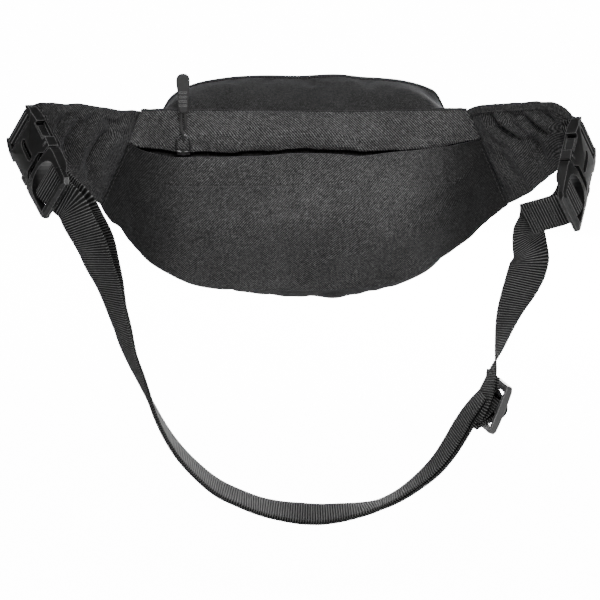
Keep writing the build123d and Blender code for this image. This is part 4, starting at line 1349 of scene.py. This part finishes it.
# Webbing round the bar of each buckle, its two ends running into the wing.
TAB_RADIUS = 3.3
TAB_LENGTH = 11.0
for side, frame, (dy, dz) in (("left", LEFT_FRAME, (0.122, -0.983)),
                              ("right", RIGHT_FRAME, (-0.074, -0.984))):
    end_y, end_z = dy * TAB_LENGTH, dz * TAB_LENGTH
    profile = [(TAB_RADIUS * 0.75 + end_y, end_z), (TAB_RADIUS + end_y / 2, end_z / 2)]
    profile += [(TAB_RADIUS * math.cos(math.radians(k)), TAB_RADIUS * math.sin(math.radians(k)))
                for k in range(0, 181, 20)]
    profile += [(-TAB_RADIUS + end_y / 2, end_z / 2), (-TAB_RADIUS * 0.75 + end_y, end_z)]
    ob = strap(side + "_webbing_tab_run", profile_points(frame, 0, profile),
               np.tile(frame[1], (len(profile), 1)))
    attach(ob, side + "_socket", "webbing", side + "_webbing_tab")

# Webbing in the strap adjuster: profiles along the strap (y) and off its face (z).
ADJUSTER_PASS = [
    (-18, -10.4), (-14.6, -7.6), (-11.4, -4.4), (-8.7, -1.4), (-6.2, 1.8), (-3.4, 4.2),
    (0, 5.0), (3.4, 4.2), (6.2, 1.8), (8.7, -1.4), (11.4, -4.6), (14.4, -7.0), (17.4, -8.3),
    (20.5, -8.9)]
# The sewn end of the lower run is looped round the middle bar under the pass.
ADJUSTER_LOOP = [
    (-17.8, -12.0), (-13.6, -8.6), (-9.4, -4.4), (-6.8, -1.2), (-5.2, 1.6), (-2.8, 3.2),
    (0, 3.6), (2.8, 3.2), (4.9, 1.6), (5.4, 0), (4.9, -1.8), (2.8, -3.4), (0, -3.8),
    (-4.4, -5.0), (-9.6, -7.6), (-13.6, -10.6)]
tangent = unit((0.36, 0.02, 0.93))
width = perpendicular(twisted(tangent, -14), tangent)
adjuster_frame = (array((130.6, -37.5, -138.3)), width, tangent,
                  unit(np.cross(width, tangent)))
parts = [
    strap(name, profile_points(adjuster_frame, 0, profile),
          np.tile(width, (len(profile), 1)), thickness=thickness, rib=rib)
    for name, profile, thickness, rib in (
        ("adjuster_webbing_pass", ADJUSTER_PASS, 1.5, 0.24),
        ("adjuster_webbing_loop", ADJUSTER_LOOP, 1.2, 0.15))]
attach(join("adjuster_webbing_run", parts), "adjuster", "webbing", "adjuster_webbing")

# ============================================================ puller cords
# Slider origin, outward direction, direction to the ring, direction the cord hangs.
PULLERS = {
    "rear": ((-83.5, 0.9, 33.4), (0, -1, 0), (0, 0, 1), (0, 0, 1)),
    "main": ((-50.0, 74.3, 75.6), (0, 0.77, 0.64), (0, 0.64, -0.77), (0, 0.36, -0.933)),
    "front": ((52.0, 86.0, 34.6), (0, 0, 1), (0, 1, 0), (0, 0.30, -0.954))}
CORD_PATH = [    # x, y, z with z along the cord
    (-1.05, 0, 22.0), (-1.15, 0, 17.5), (-1.45, 0, 12.5), (-1.55, -0.5, 8.0),
    (-1.0, -1.7, 4.6), (0, -2.15, 1.9), (0, -1.3, 0.1), (0, 0, -0.45), (0, 1.3, 0.1),
    (0, 2.15, 1.9), (1.0, 1.7, 4.6), (1.55, 0.5, 8.0), (1.45, 0, 12.5), (1.15, 0, 17.5),
    (1.05, 0, 22.0)]
for prefix, (origin, out, to_ring, hang) in PULLERS.items():
    hang = unit(hang)
    ring = array(origin) + unit(out) * 3.6 + unit(to_ring) * 11.6
    x_axis = array([1.0, 0, 0])
    frame = (ring - hang * 1.72, x_axis, np.cross(hang, x_axis), hang)
    path = smooth_curve([local(frame, *p) for p in CORD_PATH], 90)
    ob = tube(prefix + "_zip_cord_run", path, 1.05, CORD, sides=12, up=(0.3, 0.5, 0.81),
              ribs=(1.3, 0.06))
    attach(ob, prefix + "_puller", "cord", prefix + "_zip_cord")

# ============================================================ CAD hardware
# The first key found in a node's name picks its material.
HARDWARE = {"buckle": ACETAL, "prong": ACETAL, "strap_adjuster": ADJUSTER_ACETAL,
            "slider": SLIDER, "ring": NICKEL, "cord": CORD, "grip": RUBBER}
for name, ob in NODES.items():
    material = next((m for key, m in HARDWARE.items() if key in name), None)
    if material:
        ob.data.materials.clear()
        ob.data.materials.append(material)
    if name.endswith(("buckle", "grip")) or "prong" in name or name == "strap_adjuster":
        configure(ob.modifiers.new("edge", "BEVEL"), width=0.00045, segments=2,
                  limit_method="ANGLE", angle_limit=math.radians(35), harden_normals=False)

# ========================================================= stage and lights
BACKDROP_GLOW = 14.0    # brightness of floor glow and world as the camera sees them
WORLD_LIGHT = 0.05      # brightness of the world as it lights the pack


def floor_material():
    """Matt pale grey that also glows, to the camera only."""
    m = Material("studio_floor")
    m.finish({"Base Color": m.ramp(m.noise(3, 3), (0.3, 0.80), (0.7, 0.84)),
              "Roughness": 0.9})
    surface = Value(m.surface.outputs[0])
    seen = m.value("ShaderNodeLightPath", {}, output="Is Camera Ray")
    glow = m.value("ShaderNodeEmission", {"Color": (1, 1, 1, 1), "Strength": BACKDROP_GLOW})
    both = m.value("ShaderNodeAddShader", {0: surface, 1: glow})
    feed(m.output.inputs[0],
         m.value("ShaderNodeMixShader", {0: seen, 1: surface, 2: both}))
    return m.material


FLOOR_HALF = 4000.0
floor_z = (CAD_BOX[0][2] - 0.004) / MM
SWEEP = [    # y, height over the floor
    (-FLOOR_HALF, 0), (1200, 0), (1700, 50), (2100, 250), (2350, 700), (2400, 3200)]
curve = smooth_curve([(0, y, floor_z + rise) for y, rise in SWEEP], 60)
floor = mesh_object(
    "studio_sweep", [(x, y, z) for _, y, z in curve for x in (-FLOOR_HALF, FLOOR_HALF)],
    grid_faces(len(curve), 2), floor_material())

world = bpy.data.worlds.new("studio")
scene.world = world
world.use_nodes = True
background = world.node_tree.nodes["Background"]
light_path = add_node(world.node_tree, "ShaderNodeLightPath", {})
feed(background.inputs[0], (1, 1, 1, 1))
feed(background.inputs[1], maths("MULTIPLY_ADD", Value(light_path.outputs["Is Camera Ray"]),
                                 BACKDROP_GLOW - WORLD_LIGHT, WORLD_LIGHT))

# Area lights in metres: name, location, target, width, height, watts.
LIGHTS = [
    ("key", (0.10, -1.30, 0.90), (0, 0, -0.02), 0.45, 0.35, 18),
    ("top", (0.0, -0.25, 1.25), (0, 0, 0.05), 0.8, 0.4, 3.0),
    ("rim_l", (-1.15, -0.45, 0.40), (0.1, 0, 0), 0.22, 0.9, 2.5),
    ("rim_r", (1.15, -0.45, 0.40), (-0.1, 0, 0), 0.22, 0.9, 4.0),
    ("front_side", (0.45, 1.5, 0.22), (0, 0, 0), 0.6, 0.5, 18),
    ("back", (0, 1.2, 0.9), (0, 1.9, 0.2), 2.2, 1.0, 30)]
for name, location, target, width, height, watts in LIGHTS:
    light = bpy.data.lights.new(name, "AREA")
    configure(light, shape="RECTANGLE", size=width, size_y=height, energy=watts)
    ob = bpy.data.objects.new(name, light)
    scene.collection.objects.link(ob)
    ob.location = location
    aim = Vector(target) - Vector(location)
    ob.rotation_euler = aim.to_track_quat("-Z", "Y").to_euler()

# Camera on the wearer's side, looking slightly down; lengths in metres.
CAMERA_DISTANCE = 1.6
VIEW_WIDTH = 0.42    # width seen at the pack
CAMERA_TARGET = (-0.0028, 0, -0.0707)
elevation = math.radians(8.0)
camera = bpy.data.cameras.new("view_cam")
camera.sensor_width = 36.0
camera.lens = 36.0 * CAMERA_DISTANCE / VIEW_WIDTH
camera.clip_start = 0.01
ob = bpy.data.objects.new("view_cam", camera)
scene.collection.objects.link(ob)
ob.location = (CAMERA_TARGET[0], -CAMERA_DISTANCE * math.cos(elevation),
               CAMERA_TARGET[2] + CAMERA_DISTANCE * math.sin(elevation))
ob.rotation_euler = (math.radians(90) - elevation, 0, 0)
scene.camera = ob
